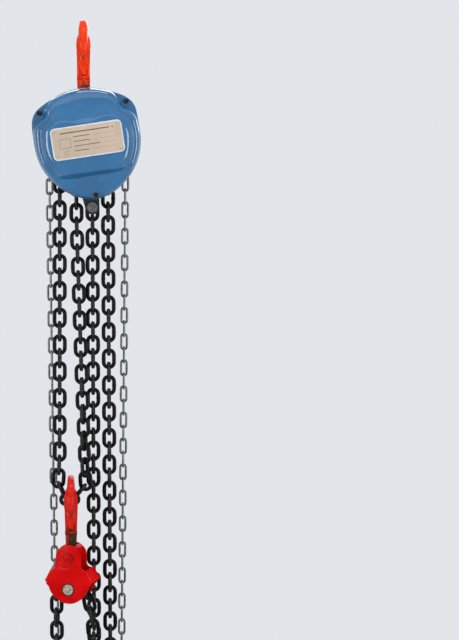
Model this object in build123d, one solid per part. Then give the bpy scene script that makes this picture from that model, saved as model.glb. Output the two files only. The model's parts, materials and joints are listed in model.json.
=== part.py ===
from build123d import *
import math
import os

# Hand chain hoist with two falls of load chain, in millimetres.
# Row frame: origin at the centre of the top hook's bowl, +Z up, +X to the
# right of the rating plate, -Y out of the rating plate's face.

# ---- load and hand chain ----
LOAD_WIRE = 7.1
LOAD_PITCH = 24.0
LOAD_OUTER_W = 25.4
HAND_WIRE = 4.0
HAND_PITCH = 24.0
HAND_OUTER_W = 14.0
LINK_GAP = 0.25

# ---- housing, in its own frame round the sheave axis ----
AXIS_X = 6.0
AXIS_Z = -154.5
HOUSING_ROLL = 8.4
PLATE_IN = 25.0
PLATE_OUT = 30.0
STAYS = ((35.5, 95.0), (143.5, 95.0), (-90.0, 98.5))
FLANGE_R = 92.3
EAR_ANGLES = (31.5, 148.5)
EAR_H = 9.5
EAR_SPREAD = 17.0
FOOT_H = 14.0
FOOT_SPREAD = 43.0
BROW_H = 3.4
BROW_SPREAD = 28.0
FLANGE_EDGE = 1.2
STEP_TOP_Z = -54.5
STEP_LOW_Z = -65.5
STAY_BOLT_R = 4.0
STAY_HOLE_R = 4.3
STAY_TUBE_R = 6.3
STAY_HEAD_AF = 10.5
STAY_NUT_AF = 11.5
COVER_WALL = 2.5
COVER_FACE = 65.0
COVER_STEP_FACE = 45.0
REAR_DRUM_R = 85.0
REAR_FACE = 74.0

# ---- rating plate, in the housing's frame ----
PLATE_W = 125.0
PLATE_H = 56.0
PLATE_T = 0.8
PLATE_CORNER = 8.0
PLATE_MID_Z = -1.9
RIVET_INSET = 6.5
RIVET_R = 1.9

# ---- load sheave and gears ----
POCKETS = 4
SHEAVE_TURN = 45.0
GEAR_M = 1.25
Z_DRIVE = 10
Z_DISC = 50
Z_DISC_PINION = 12
Z_LOAD = 48
GEAR_DIST = 37.5
ROLLERS = ((-50.0, -38.0), (50.0, -38.0))
ROLLER_R = 6.5
ROLLER_PIN_R = 3.5
STRIPPER_PINS = ((0.0, -52.0),)

# ---- ratchet and pawls ----
RATCHET_TEETH = 18
RATCHET_R = 37.0
RATCHET_TOOTH = 4.2
PAWL_R = 45.5
PAWL_ANGLES = (118.0, -62.0)

# ---- hand wheel ----
HAND_POCKETS = 9
HAND_TURN = 20.0
HAND_Y = 52.0

# ---- hooks ----
BOWL_R = 24.0
NECK_R = 10.0
SHANK_R = 8.8
COLLAR_R = 12.5
COLLAR_TOP = -75.5
COLLAR_BOTTOM = -82.0
YOKE_TOP = -71.5
PIN_DROP = 92.0
SUSPENSION_R = 7.0
YOKE_HALF_X = 19.0
BLOCK_YOKE_HALF_X = 15.5
LATCH_Y = -12.5
LATCH_Z = -47.0
LATCH_TIP_Y = -18.4
LATCH_TIP_Z = -8.5
LATCH_EAR_R = 5.0
LATCH_EAR_X = 7.8
HOOK_EAR_HALF = 4.2

# ---- lower block ----
BLOCK_X = -27.0
BLOCK_Y = -24.0
LOWER_BOWL_Z = -803.5
BLOCK_YAW = -18.0
BLOCK_PIN_TO_AXLE = 57.0
CHEEK_IN = 14.5
CHEEK_OUT = 18.0
BLOCK_JOINT_R = 28.0

# ---- runs of the chains ----
TAIL_TOP_Z = -224.913
TAIL_X = -43.0
TAIL_PIN_R = 4.0
LOWER_LINK_X = BLOCK_X - 2.0
LOWER_LINK_Z = LOWER_BOWL_Z + 10.6
LIVE_X = 41.8
LIVE_LOOP_Z = -1090.0
DEAD_LOOP_Z = -1087.057
DEAD_END_X = 14.2
TONGUE_R = 12.5
TONGUE_ROOT = 19.0
DEAD_END_Z = -274.2
HAND_LOOP_Z = -1075.0
HAND_LOOP_DEPTH = 53.831
HAND_LEFT_X = -57.0
HAND_RIGHT_X = 63.0
FACE_Y = (0.0, 1.0, 0.0)

HOUSING = Location((AXIS_X, 0, AXIS_Z), (0, -HOUSING_ROLL, 0))
BLOCK_PIN_Z = LOWER_BOWL_Z - PIN_DROP
AXLE_Z = BLOCK_PIN_Z - BLOCK_PIN_TO_AXLE
BLOCK = Location((BLOCK_X, BLOCK_Y, AXLE_Z), (0, 0, BLOCK_YAW))
LOWER_HOOK = Location((BLOCK_X, BLOCK_Y, LOWER_BOWL_Z))

ROLL_C = math.cos(math.radians(HOUSING_ROLL))
ROLL_S = math.sin(math.radians(HOUSING_ROLL))
YAW_C = math.cos(math.radians(BLOCK_YAW))
YAW_S = math.sin(math.radians(BLOCK_YAW))


def from_housing(x, y, z):
    """Row position of a point given in the housing's frame."""
    return (x * ROLL_C - z * ROLL_S + AXIS_X, y, x * ROLL_S + z * ROLL_C + AXIS_Z)


def to_housing(x, z):
    """Housing-frame x and z of a row position."""
    dx = x - AXIS_X
    dz = z - AXIS_Z
    return (dx * ROLL_C + dz * ROLL_S, -dx * ROLL_S + dz * ROLL_C)


def from_block(x, y, z):
    """Row position of a point given in the block's frame."""
    return (
        x * YAW_C - y * YAW_S + BLOCK_X,
        x * YAW_S + y * YAW_C + BLOCK_Y,
        z + AXLE_Z,
    )


DEAD_END = to_housing(DEAD_END_X, DEAD_END_Z)
TAIL = to_housing(TAIL_X, TAIL_TOP_Z)
SUSPENSION = to_housing(0.0, -PIN_DROP)


# ---------------------------------------------------------------- basics
def rod(x, z, y0, y1, r):
    """Round bar along Y."""
    length = y1 - y0
    return Pos(x, (y0 + y1) / 2, z) * Cylinder(r, length, rotation=(90, 0, 0))


def ring(x, z, y0, y1, r_out, r_in):
    """Tube along Y."""
    return rod(x, z, y0, y1, r_out) - rod(x, z, y0 - 1, y1 + 1, r_in)


def closed_face(points):
    """Flat face inside a smooth closed curve."""
    edge = Edge.make_spline([Vector(*p) for p in points], periodic=True)
    return Face(Wire([edge]))


def closed_wire(points):
    """Smooth closed curve."""
    return Wire([Edge.make_spline([Vector(*p) for p in points], periodic=True)])


def slab(face, y0, y1):
    """Extrude a face that lies in the plane y = 0 from y0 to y1."""
    return extrude(Pos(0, y0, 0) * face, amount=y1 - y0, dir=(0, 1, 0))


def hexagon(x, z, y0, y1, across_flats):
    """Hexagonal prism along Y."""
    r = across_flats / math.sqrt(3)
    pts = []
    for k in range(6):
        a = math.radians(60 * k + 30)
        pts.append((x + r * math.cos(a), 0, z + r * math.sin(a)))
    return slab(Face(Wire(Polyline(*pts, close=True).edges())), y0, y1)


def group(shapes):
    """Several separate solids kept in one node."""
    solids = []
    for s in shapes:
        solids.extend(s.solids())
    if len(solids) == 1:
        return solids[0]
    return Compound(solids)


# ---------------------------------------------------------------- vectors
def v_sub(a, b):
    return (a[0] - b[0], a[1] - b[1], a[2] - b[2])


def v_add(a, b):
    return (a[0] + b[0], a[1] + b[1], a[2] + b[2])


def v_mul(a, k):
    return (a[0] * k, a[1] * k, a[2] * k)


def v_dot(a, b):
    return a[0] * b[0] + a[1] * b[1] + a[2] * b[2]


def v_cross(a, b):
    return (
        a[1] * b[2] - a[2] * b[1],
        a[2] * b[0] - a[0] * b[2],
        a[0] * b[1] - a[1] * b[0],
    )


def v_unit(a):
    n = math.sqrt(v_dot(a, a))
    return v_mul(a, 1 / n)


def v_mix(a, b, t):
    return v_add(v_mul(a, 1 - t), v_mul(b, t))


# ---------------------------------------------------------------- chains
class Path:
    """A run of points with the direction that the odd links' faces look in."""

    def __init__(self, start, normal, swap=0):
        self.points = [start]
        self.normals = [normal]
        self.swaps = [swap]
        self.normal = normal
        self.swap = swap

    def line(self, end, normal=None, steps=40):
        """Straight run, turning the faces evenly towards the given normal."""
        start = self.points[-1]
        first = self.normal
        last = normal if normal else first
        for i in range(1, steps + 1):
            t = i / steps
            self.points.append(v_mix(start, end, t))
            self.normals.append(v_unit(v_mix(first, last, t)))
            self.swaps.append(self.swap)
        self.normal = last

    def arc(self, centre, ax, bx, a0, a1, steps=60):
        """Arc centre + ax cos(a) + bx sin(a), a from a0 to a1 degrees."""
        for i in range(0, steps + 1):
            a = math.radians(a0 + (a1 - a0) * i / steps)
            p = v_add(centre, v_add(v_mul(ax, math.cos(a)), v_mul(bx, math.sin(a))))
            self.points.append(p)
            self.normals.append(self.normal)
            self.swaps.append(self.swap)

    def turn_quarter(self, normal):
        """From here on, name the other set of links' faces."""
        self.normal = normal
        self.swap = self.swap + 1

    def finish(self):
        """Drop repeated points."""
        pts = [self.points[0]]
        nrm = [self.normals[0]]
        swp = [self.swaps[0]]
        for p, n, s in zip(self.points, self.normals, self.swaps):
            gap = v_sub(p, pts[-1])
            if v_dot(gap, gap) > 1e-6:
                pts.append(p)
                nrm.append(n)
                swp.append(s)
        self.points = pts
        self.normals = nrm
        self.swaps = swp


def next_joint(path, seg, origin, distance):
    """First point past segment seg at the given distance from origin."""
    i = seg
    while i < len(path.points) - 1:
        q = path.points[i + 1]
        gap = v_sub(q, origin)
        if v_dot(gap, gap) > distance * distance:
            p = path.points[i]
            lo = 0.0
            hi = 1.0
            for _ in range(40):
                mid = (lo + hi) / 2
                m = v_sub(v_mix(p, q, mid), origin)
                if v_dot(m, m) < distance * distance:
                    lo = mid
                else:
                    hi = mid
            return i, v_mix(p, q, hi)
        i += 1
    return None


def short_reach(pitch, wire, outer_w):
    """From a link's centre to the centre of its end curve."""
    return (pitch + 2 * wire - outer_w) / 2


def long_reach(pitch, wire, outer_w):
    """From a link's centre to the centre of its neighbour's end curve."""
    return (pitch - 2 * wire + outer_w) / 2 - LINK_GAP


def path_index(path, seg, here, distance):
    """Index of the path point about the given distance further on."""
    found = next_joint(path, seg, here, distance)
    return found[0] + 1 if found else len(path.points) - 1


def links_on(path, pitch, wire, outer_w):
    """Centre, direction and face normal of every link, and the end point.

    Odd and even links stand at right angles.  A link that lies in the plane
    of the bends turns about the centres of its two end curves, so it has the
    short spacing between its joints and its neighbours have the long one.
    """
    short = short_reach(pitch, wire, outer_w)
    long = long_reach(pitch, wire, outer_w)
    seg = 0
    here = path.points[0]
    index = path_index(path, seg, here, pitch / 2)
    flat = path.swaps[index] % 2 == 0
    start = short if flat else long
    frames = []
    while True:
        ahead = path_index(path, seg, here, pitch * 1.5)
        flat_next = (len(frames) + 1 + path.swaps[ahead]) % 2 == 0
        if flat == flat_next:
            end = (pitch - LINK_GAP) / 2
            start_next = end
        else:
            end = short if flat else long
            start_next = long if flat else short
        found = next_joint(path, seg, here, start + end)
        if found is None:
            return frames, here
        u = v_unit(v_sub(found[1], here))
        n = path.normals[index]
        n = v_unit(v_sub(n, v_mul(u, v_dot(n, u))))
        if not flat:
            n = v_cross(u, n)
        frames.append((v_add(here, v_mul(u, start)), u, n))
        seg, here = found
        index = ahead
        flat = flat_next
        start = start_next


def make_link(pitch, wire, outer_w):
    """One link along X with its face looking along Z."""
    r = wire / 2
    bend = (outer_w - wire) / 2
    half = (pitch + wire) / 2 - bend
    right = Edge.make_circle(bend, Plane((half, 0, 0)), start_angle=-90, end_angle=90)
    left = Edge.make_circle(bend, Plane((-half, 0, 0)), start_angle=90, end_angle=270)
    top = Edge.make_line((half, bend, 0), (-half, bend, 0))
    low = Edge.make_line((-half, -bend, 0), (half, -bend, 0))
    spine = Wire([top, left, low, right])
    start = Face(Wire([Edge.make_circle(r, Plane((half, bend, 0), z_dir=(-1, 0, 0)))]))
    return sweep(start, path=spine)


def place_links(link, frames):
    """Copies of one link at the given frames."""
    out = []
    for centre, u, n in frames:
        plane = Plane(origin=centre, x_dir=u, z_dir=n)
        out.append(plane.location * link)
    return group(out)


def wheel_radii(turn, pitch, wire, outer_w):
    """Radii of the joints, the flat links and the standing links on a wheel."""
    a = 2 * long_reach(pitch, wire, outer_w)
    b = 2 * short_reach(pitch, wire, outer_w)
    t = math.radians(turn)
    joint = math.sqrt(a * a + b * b + 2 * a * b * math.cos(t)) / (2 * math.sin(t))
    return joint, math.sqrt(joint**2 - a * a / 4), math.sqrt(joint**2 - b * b / 4)


SHEAVE_JOINT_R, SHEAVE_LINK_R, _ = wheel_radii(SHEAVE_TURN, LOAD_PITCH, LOAD_WIRE, LOAD_OUTER_W)
HAND_JOINT_R, HAND_LINK_R, HAND_STAND_R = wheel_radii(HAND_TURN, HAND_PITCH, HAND_WIRE, HAND_OUTER_W)
BLOCK_LINK_R = math.sqrt(BLOCK_JOINT_R**2 - long_reach(LOAD_PITCH, LOAD_WIRE, LOAD_OUTER_W) ** 2)
BLOCK_STAND_R = math.sqrt(BLOCK_JOINT_R**2 - short_reach(LOAD_PITCH, LOAD_WIRE, LOAD_OUTER_W) ** 2)


# ---------------------------------------------------------------- hooks
def hook_section(y, z, lean, depth, inner_w, outer_w, blend):
    """Closed section of the forging: inner flange, narrower outer web.

    lean is the outward direction in degrees from -Y towards +Z, and blend
    goes from 0, a flanged section, to 1, an ellipse.
    """
    a = math.radians(lean)
    out_y = -math.cos(a)
    out_z = math.sin(a)
    flanged = (
        (0.0, 0.45),
        (0.06, 0.93),
        (0.15, 1.0),
        (0.28, 0.68),
        (0.62, 0.56),
        (0.94, 0.43),
    )
    pts = []
    count = len(flanged)
    for k in range(count):
        s, w = flanged[k]
        half = w * inner_w / 2
        if s > 0.5:
            half = max(half, w / 0.44 * outer_w / 2 * 0.9)
        e = math.radians(90 * (2 * k + 1) / count)
        es = (1 - math.cos(e)) / 2
        ew = math.sin(e) * inner_w / 2
        s_mix = s * (1 - blend) + es * blend
        w_mix = half * (1 - blend) + ew * blend
        pts.append((s_mix * depth, w_mix))
    loop = []
    for s, w in pts:
        loop.append((w, y + out_y * s, z + out_z * s))
    for s, w in reversed(pts):
        loop.append((-w, y + out_y * s, z + out_z * s))
    return loop


def make_hook():
    """Latched hook: bowl centre at the origin, shank down, tip towards -Y."""
    inner = BOWL_R - 0.6
    stations = []
    for angle, depth, width, rim in (
        (-24.0, 13.0, 16.0, 6.0),
        (-8.0, 19.0, 21.0, 9.5),
        (15.0, 24.5, 24.6, 11.0),
        (45.0, 28.5, 22.5, 11.2),
        (75.0, 30.3, 18.0, 11.4),
        (105.0, 30.6, 17.5, 11.6),
        (140.0, 29.6, 21.5, 12.5),
        (175.0, 28.0, 24.0, 14.0),
    ):
        a = math.radians(angle)
        y = -inner * math.cos(a)
        z = inner * math.sin(a)
        stations.append(hook_section(y, z, angle, depth, width, rim, 0.0))
    stations.append(hook_section(19.6, -16.0, 207.0, 27.0, 23.6, 16.0, 0.35))
    stations.append(hook_section(9.0, -30.0, 238.0, 25.5, 22.4, 18.0, 0.7))
    neck = []
    for z, r in ((-50.0, 10.7), (-60.0, 10.02)):
        ring_pts = hook_section(-r, z, 180.0, 2 * r, 2 * r, 2 * r, 1.0)
        neck.append(ring_pts)
    stations = stations + neck
    wires = [closed_wire(p) for p in stations]
    bow = Solid.make_loft(wires)
    neck_end = YOKE_TOP + 0.4
    neck_bar = Pos(0, 0, (-54.0 + neck_end) / 2) * Cylinder(NECK_R, -54.0 - neck_end)
    shank = neck_bar + Pos(0, 0, (-56.0 + COLLAR_TOP) / 2) * Cylinder(SHANK_R, -56.0 - COLLAR_TOP)
    collar = Pos(0, 0, (COLLAR_TOP + COLLAR_BOTTOM) / 2) * Cylinder(COLLAR_R, COLLAR_TOP - COLLAR_BOTTOM)
    hook = bow + shank + collar
    hook = hook - Cylinder(BOWL_R, 60, rotation=(0, 90, 0))
    hinge = Pos(0, LATCH_Y, LATCH_Z)
    room = Cylinder(LATCH_EAR_R + 0.8, 22.0, rotation=(0, 90, 0))
    room = room - Cylinder(LATCH_EAR_R + 0.8, 2 * HOOK_EAR_HALF + 0.1, rotation=(0, 90, 0))
    hook = hook - hinge * room
    ears = hinge * Cylinder(LATCH_EAR_R + 0.4, 2 * HOOK_EAR_HALF, rotation=(0, 90, 0))
    hook = hook + ears
    hook = hook - Pos(0, LATCH_Y, LATCH_Z) * Cylinder(2.5, 40, rotation=(0, 90, 0))
    return hook


def make_latch():
    """Pressed safety latch: tongue up to the hook's tip and two ears."""
    dy = LATCH_TIP_Y - LATCH_Y
    dz = LATCH_TIP_Z - LATCH_Z
    length = math.hypot(dy, dz)
    lean = math.degrees(math.atan2(-dy, dz))
    at = Location((0, LATCH_Y, LATCH_Z), (lean, 0, 0))
    tongue = Pos(0, 0, length / 2 + 2.0) * Box(15.6, 2.0, length - 12.0)
    tip = Pos(0, 0, length - 6.0) * Cylinder(6.2, 2.0, rotation=(90, 0, 0))
    ears = []
    for side in (-1, 1):
        ear = Pos(side * LATCH_EAR_X, 0, 0) * Cylinder(LATCH_EAR_R, 1.8, rotation=(0, 90, 0))
        arm = Pos(side * LATCH_EAR_X, 0, 7.0) * Box(1.8, 7.0, 14.0)
        ears.append(ear + arm)
    latch = tongue + tip + ears[0] + ears[1]
    bore = Cylinder(2.55, 40, rotation=(0, 90, 0))
    return at * (latch - bore)


def make_latch_pin():
    """Pin with two heads through the latch ears."""
    shank = Cylinder(2.48, 19.0, rotation=(0, 90, 0))
    head_l = Pos(-10.0, 0, 0) * Cylinder(3.6, 1.6, rotation=(0, 90, 0))
    head_r = Pos(10.0, 0, 0) * Cylinder(3.6, 1.6, rotation=(0, 90, 0))
    return Pos(0, LATCH_Y, LATCH_Z) * (shank + head_l + head_r)


def make_latch_spring():
    """Hairpin spring round the latch pin, between the hook's ear and the latch."""
    at = Pos(-5.6, LATCH_Y, LATCH_Z)
    coil = Cylinder(3.9, 2.2, rotation=(0, 90, 0)) - Cylinder(2.8, 4, rotation=(0, 90, 0))
    leg = Pos(0, -3.3, 5.5) * Box(1.0, 1.0, 11.0)
    return at * (coil + leg)


def make_yoke(side, half_x, half_y):
    """One half of the split yoke that holds the hook's collar and the pin."""
    top_z = YOKE_TOP
    mid_z = -83.0
    low = PIN_DROP
    r = 14.0
    profile = Polyline(
        (0, 0, top_z),
        (half_x - 3, 0, top_z),
        (half_x, 0, top_z - 3),
        (half_x, 0, mid_z),
        (r, 0, -low + 1.0),
        (r * 0.72, 0, -low - r * 0.70),
        (0, 0, -low - r),
        close=True,
    )
    half = slab(Face(Wire(profile.edges())), -half_y, half_y)
    half = half - Pos(0, 0, COLLAR_TOP) * Cylinder(SHANK_R + 0.05, 2 * (COLLAR_TOP - COLLAR_BOTTOM))
    depth = COLLAR_TOP - COLLAR_BOTTOM + 0.4
    half = half - Pos(0, 0, (COLLAR_TOP + COLLAR_BOTTOM) / 2) * Cylinder(COLLAR_R + 0.4, depth)
    half = half - rod(0, -PIN_DROP, -40, 40, SUSPENSION_R + 0.05)
    if side < 0:
        half = mirror(half, about=Plane.YZ)
    return half


# ---------------------------------------------------------------- housing
def hump(angle, at, spread):
    """Smooth bump from 0 to 1 round an angle in degrees."""
    d = (angle - at + 180) % 360 - 180
    return math.exp(-((d / spread) ** 2))


def body_radius(angle):
    """Rounded outline of the body without its ears."""
    d = abs((angle + 90 + 180) % 360 - 180)
    foot = FOOT_H * math.exp(-((d / FOOT_SPREAD) ** 1.5))
    return FLANGE_R + foot - BROW_H * hump(angle, 90.0, BROW_SPREAD)


def flange_radius(angle):
    """Outline of the housing flange at an angle in degrees."""
    r = body_radius(angle)
    for at in EAR_ANGLES:
        r += EAR_H * hump(angle, at, EAR_SPREAD)
    return r


def dome_radius(angle, inset, notch):
    """Outline of the raised part, hollowed beside the two upper bolts."""
    r = body_radius(angle) - FLANGE_EDGE - inset
    for at, _ in STAYS[:2]:
        d = abs((angle - at + 180) % 360 - 180)
        r -= notch * hump(angle, at, 8.5)
        r += 2.2 * math.exp(-((d - 17.0) / 7.0) ** 2)
    return r


def outline(y, radius, count=72):
    """Points of a polar outline at depth y."""
    pts = []
    for k in range(count):
        angle = 360.0 * k / count
        r = radius(angle)
        a = math.radians(angle)
        pts.append((r * math.cos(a), y, r * math.sin(a)))
    return pts


def shouldered(face_y, base_y, run, shrink, notch, lobe=False):
    """Solid with a rounded shoulder, from base_y out to face_y."""
    wires = []
    for phi in (0.0, 20.0, 40.0, 58.0, 74.0, 90.0):
        a = math.radians(phi)
        inset = run * (1 - math.cos(a)) + shrink
        y = -(base_y + (face_y - base_y) * math.sin(a))
        fade = 1 - 0.75 * phi / 90.0
        if lobe:
            pts = outline(y, lambda t: body_radius(t) - FLANGE_EDGE - inset)
        else:
            pts = outline(y, lambda t: dome_radius(t, inset, notch * fade))
        wires.append(closed_wire(pts))
    return Solid.make_loft(wires)


def upper_part(offset):
    """Block that bounds the deep upper part of the cover above the step."""
    z_face = STEP_TOP_Z + offset
    z_step = STEP_LOW_Z + offset
    slope = (z_step - z_face) / (COVER_FACE - COVER_STEP_FACE)
    z_far = z_face - slope * 15.0
    z_near = z_step + slope * (COVER_STEP_FACE - 20.0)
    side = Polyline(
        (-120, -20.0, z_near),
        (-120, -COVER_FACE - 15.0, z_far),
        (-120, -COVER_FACE - 15.0, 120),
        (-120, -20.0, 120),
        close=True,
    )
    return extrude(Face(Wire(side.edges())), amount=240, dir=(1, 0, 0))


def make_front_cover():
    """Pressed gear cover with a deep upper part and a shallow foot."""
    flange = slab(closed_face(outline(0, flange_radius)), -PLATE_OUT - COVER_WALL, -PLATE_OUT)
    base = PLATE_OUT + COVER_WALL - 0.5
    deep = shouldered(COVER_FACE, base, 26.0, 0.0, 6.0) & upper_part(0.0)
    foot = shouldered(COVER_STEP_FACE, base, 8.0, 0.0, 0.0, lobe=True)
    foot = foot & (Pos(0, -50, -100) * Box(260, 60, 130))
    shell = flange + deep + foot
    deep_in = shouldered(COVER_FACE - COVER_WALL, base - 6.0, 25.0, COVER_WALL + 0.8, 6.0)
    deep_in = deep_in & upper_part(COVER_WALL + 0.4)
    foot_in = shouldered(COVER_STEP_FACE - COVER_WALL, base - 6.0, 8.0, COVER_WALL + 0.3, 0.0, lobe=True)
    foot_in = foot_in & (Pos(0, -50, -100 - COVER_WALL) * Box(260, 60, 130))
    shell = shell - deep_in - foot_in
    for x, z in stay_points():
        shell = shell - rod(x, z, -90, 0, STAY_HOLE_R)
    boss_x, boss_z = stay_points()[2]
    boss = ring(boss_x, boss_z, -COVER_STEP_FACE + 1.0, -PLATE_OUT, 7.0, STAY_HOLE_R)
    return shell + boss


def stay_points():
    """Centres of the three stays that hold the housing together."""
    out = []
    for angle, r in STAYS:
        a = math.radians(angle)
        out.append((r * math.cos(a), r * math.sin(a)))
    return out


def make_side_plate(y0, y1):
    """Side plate with the dead-end tongue, the tail ear and all its bores."""
    plate = slab(closed_face(outline(0, lambda t: flange_radius(t) - 1.5)), y0, y1)
    x, z = DEAD_END
    tongue = Polyline(
        (x - TONGUE_R, 0, z),
        (x - TONGUE_ROOT, 0, -70.0),
        (x + TONGUE_ROOT, 0, -70.0),
        (x + TONGUE_R, 0, z),
        close=True,
    )
    plate = plate + slab(Face(Wire(tongue.edges())), y0, y1)
    plate = plate + rod(x, z, y0, y1, TONGUE_R)
    plate = plate + rod(TAIL[0], TAIL[1], y0, y1, 9.0)
    plate = plate - rod(0, 0, y0 - 1, y1 + 1, 24.0)
    if y0 < 0:
        for gear_x in (-GEAR_DIST, GEAR_DIST):
            plate = plate - rod(gear_x, 0, y0 - 1, y1 + 1, 5.05)
        for post_z in (-37.0, 37.0):
            plate = plate - rod(0, post_z, y0 - 1, y1 + 1, 3.5)
    plate = plate - rod(x, z, y0 - 1, y1 + 1, 5.0)
    plate = plate - rod(TAIL[0], TAIL[1], y0 - 1, y1 + 1, TAIL_PIN_R)
    plate = plate - rod(SUSPENSION[0], SUSPENSION[1], y0 - 1, y1 + 1, SUSPENSION_R)
    for sx, sz in stay_points():
        plate = plate - rod(sx, sz, y0 - 1, y1 + 1, STAY_BOLT_R)
    for gx, gz in ROLLERS:
        plate = plate - rod(gx, gz, y0 - 1, y1 + 1, ROLLER_PIN_R)
    for px, pz in STRIPPER_PINS:
        plate = plate - rod(px, pz, y0 - 1, y1 + 1, 3.0)
    return plate


def make_stripper():
    """Guide casting between the two strands under the load sheave."""
    pts = (
        (-9.0, 0, -46.0),
        (-3.5, 0, -40.5),
        (3.5, 0, -40.5),
        (9.0, 0, -46.0),
        (9.5, 0, -60.0),
        (5.0, 0, -64.0),
        (-5.0, 0, -64.0),
        (-9.5, 0, -60.0),
    )
    body = slab(Face(Wire(Polyline(*pts, close=True).edges())), -PLATE_IN, PLATE_IN)
    stub_f = rod(0, -52.0, -PLATE_OUT, -PLATE_IN, 3.0)
    stub_r = rod(0, -52.0, PLATE_IN, PLATE_OUT, 3.0)
    return body + stub_f + stub_r


def drum(r, y0, y1, corner):
    """Round drum along Y with a rounded far edge."""
    start = (r, y1 - corner, 0)
    mid = (r - corner * 0.293, y1 - corner * 0.293, 0)
    end = (r - corner, y1, 0)
    edges = [
        Edge.make_line((0, y0, 0), (r, y0, 0)),
        Edge.make_line((r, y0, 0), start),
        Edge.make_three_point_arc(start, mid, end),
        Edge.make_line(end, (0, y1, 0)),
        Edge.make_line((0, y1, 0), (0, y0, 0)),
    ]
    return revolve(Face(Wire(edges)), Axis.Y)


def make_rear_cover():
    """Hand wheel cover: flange, arched wall and back, open below."""
    flange = slab(closed_face(outline(0, flange_radius)), PLATE_OUT, PLATE_OUT + COVER_WALL)
    outer = drum(REAR_DRUM_R, PLATE_OUT, REAR_FACE, 11.0)
    inner = drum(REAR_DRUM_R - COVER_WALL, PLATE_OUT - 10.0, REAR_FACE - COVER_WALL, 9.0)
    mouth = Pos(0, 51.5, -75.0) * Box(220, 37.0, 126.0)
    cover = flange + (outer - mouth) - inner
    for x, z in stay_points():
        cover = cover - rod(x, z, 0, 90, STAY_HOLE_R)
    return cover


# ---------------------------------------------------------------- gears
def gear_points(teeth, phase, flank):
    """Stub involute outline with running backlash, in the plane y = 0."""
    rp = GEAR_M * teeth / 2
    tip = rp + 0.78 * GEAR_M
    root = rp - 1.05 * GEAR_M
    rb = rp * math.cos(math.radians(20))
    inv0 = math.tan(math.radians(20)) - math.radians(20)
    half = math.pi / (2 * teeth) * 0.86
    low = max(rb, root + 0.05)
    side = [(root, 0.0)]
    for i in range(flank):
        r = low + (tip - low) * i / (flank - 1)
        alpha = math.acos(min(1.0, rb / r))
        side.append((r, half + inv0 - (math.tan(alpha) - alpha)))
    side[0] = (root, side[1][1] + 0.01)
    pts = []
    for k in range(teeth):
        c = 2 * math.pi * k / teeth + math.radians(phase)
        for r, w in side:
            pts.append((r * math.cos(c - w), 0, r * math.sin(c - w)))
        for r, w in reversed(side):
            pts.append((r * math.cos(c + w), 0, r * math.sin(c + w)))
    return pts


def gear(teeth, phase, x, y0, y1, flank=3):
    """Toothed wheel blank along Y at x, z = 0."""
    face = Face(Wire(Polyline(*gear_points(teeth, phase, flank), close=True).edges()))
    return Pos(x, 0, 0) * slab(face, y0, y1)


def make_disc_gear(side):
    """Intermediate shaft with its large wheel and small pinion."""
    x = side * GEAR_DIST
    wheel_phase = 180.0 / Z_DISC if side < 0 else 180.0 + 180.0 / Z_DISC
    pinion_phase = 180.0 / Z_DISC_PINION
    wheel = gear(Z_DISC, wheel_phase, x, -55.0, -46.0)
    relief = ring(x, 0, -56.0, -53.5, 26.0, 13.0)
    pinion = gear(Z_DISC_PINION, pinion_phase, x, -46.0, -33.0, 4)
    journal_rear = rod(x, 0, -33.0, -PLATE_IN, 5.0)
    journal_front = rod(x, 0, -60.0, -55.0, 5.0)
    return wheel - relief + pinion + journal_rear + journal_front


def make_drive_shaft():
    """Shaft through the sheave with its pinion and threaded rear end."""
    shaft = rod(0, 0, -45.0, 62.0, 7.0)
    pinion = gear(Z_DRIVE, 0.0, 0.0, -56.0, -45.0, 4)
    nose = rod(0, 0, -60.0, -56.0, 4.0)
    thread = rod(0, 0, 62.0, 69.0, 6.0)
    return shaft + pinion + nose + thread


def make_carrier():
    """Front bearing plate of the gear train."""
    bar = Pos(0, -58.5, 0) * Box(96.0, 3.0, 20.0)
    upright = Pos(0, -58.5, 0) * Box(15.0, 3.0, 84.0)
    plate = bar + upright
    plate = plate + rod(-48.0, 0, -60.0, -57.0, 10.0) + rod(48.0, 0, -60.0, -57.0, 10.0)
    plate = plate - rod(0, 0, -62, -50, 4.05)
    for side in (-1, 1):
        plate = plate - rod(side * GEAR_DIST, 0, -62, -50, 5.05)
        plate = plate - rod(0, side * 37.0, -62, -50, 3.5)
    return plate


def make_carrier_posts():
    """Two shouldered posts between the side plate and the bearing plate."""
    posts = []
    for side in (-1, 1):
        z = side * 37.0
        post = rod(0, z, -57.0, -PLATE_OUT, 5.0)
        post = post + rod(0, z, -61.5, -57.0, 3.5) + rod(0, z, -PLATE_OUT, -PLATE_IN, 3.5)
        posts.append(post)
    return group(posts)


def make_load_sheave(phase):
    """Pocketed load sheave with its bearing journals and gear seat."""
    body = rod(0, 0, -20.0, 20.0, 34.0)
    body = body + rod(0, 0, -31.0, 31.0, 16.0)
    body = body + rod(0, 0, -24.5, -20.0, 22.0) + rod(0, 0, 20.0, 24.5, 22.0)
    body = body + rod(0, 0, -43.5, -31.0, 12.0)
    body = body - ring(0, 0, -5.2, 5.2, 60.0, 14.0)
    for k in range(POCKETS):
        angle = phase + k * 360.0 / POCKETS
        floor = SHEAVE_LINK_R - LOAD_WIRE / 2 - 0.12
        pocket = Pos(floor + 15.0, 0, 0) * Box(30.0, LOAD_OUTER_W + 1.6, 41.4)
        ends = pocket.edges().filter_by(Axis.X)
        pocket = fillet(ends, 9.0)
        mouth = Pos(floor + 20.0, 0, 0) * Box(30.0, LOAD_OUTER_W + 1.6, 48.0)
        body = body - Rot(0, -angle, 0) * pocket - Rot(0, -angle, 0) * mouth
    return body - rod(0, 0, -60, 60, 7.05)


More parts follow.
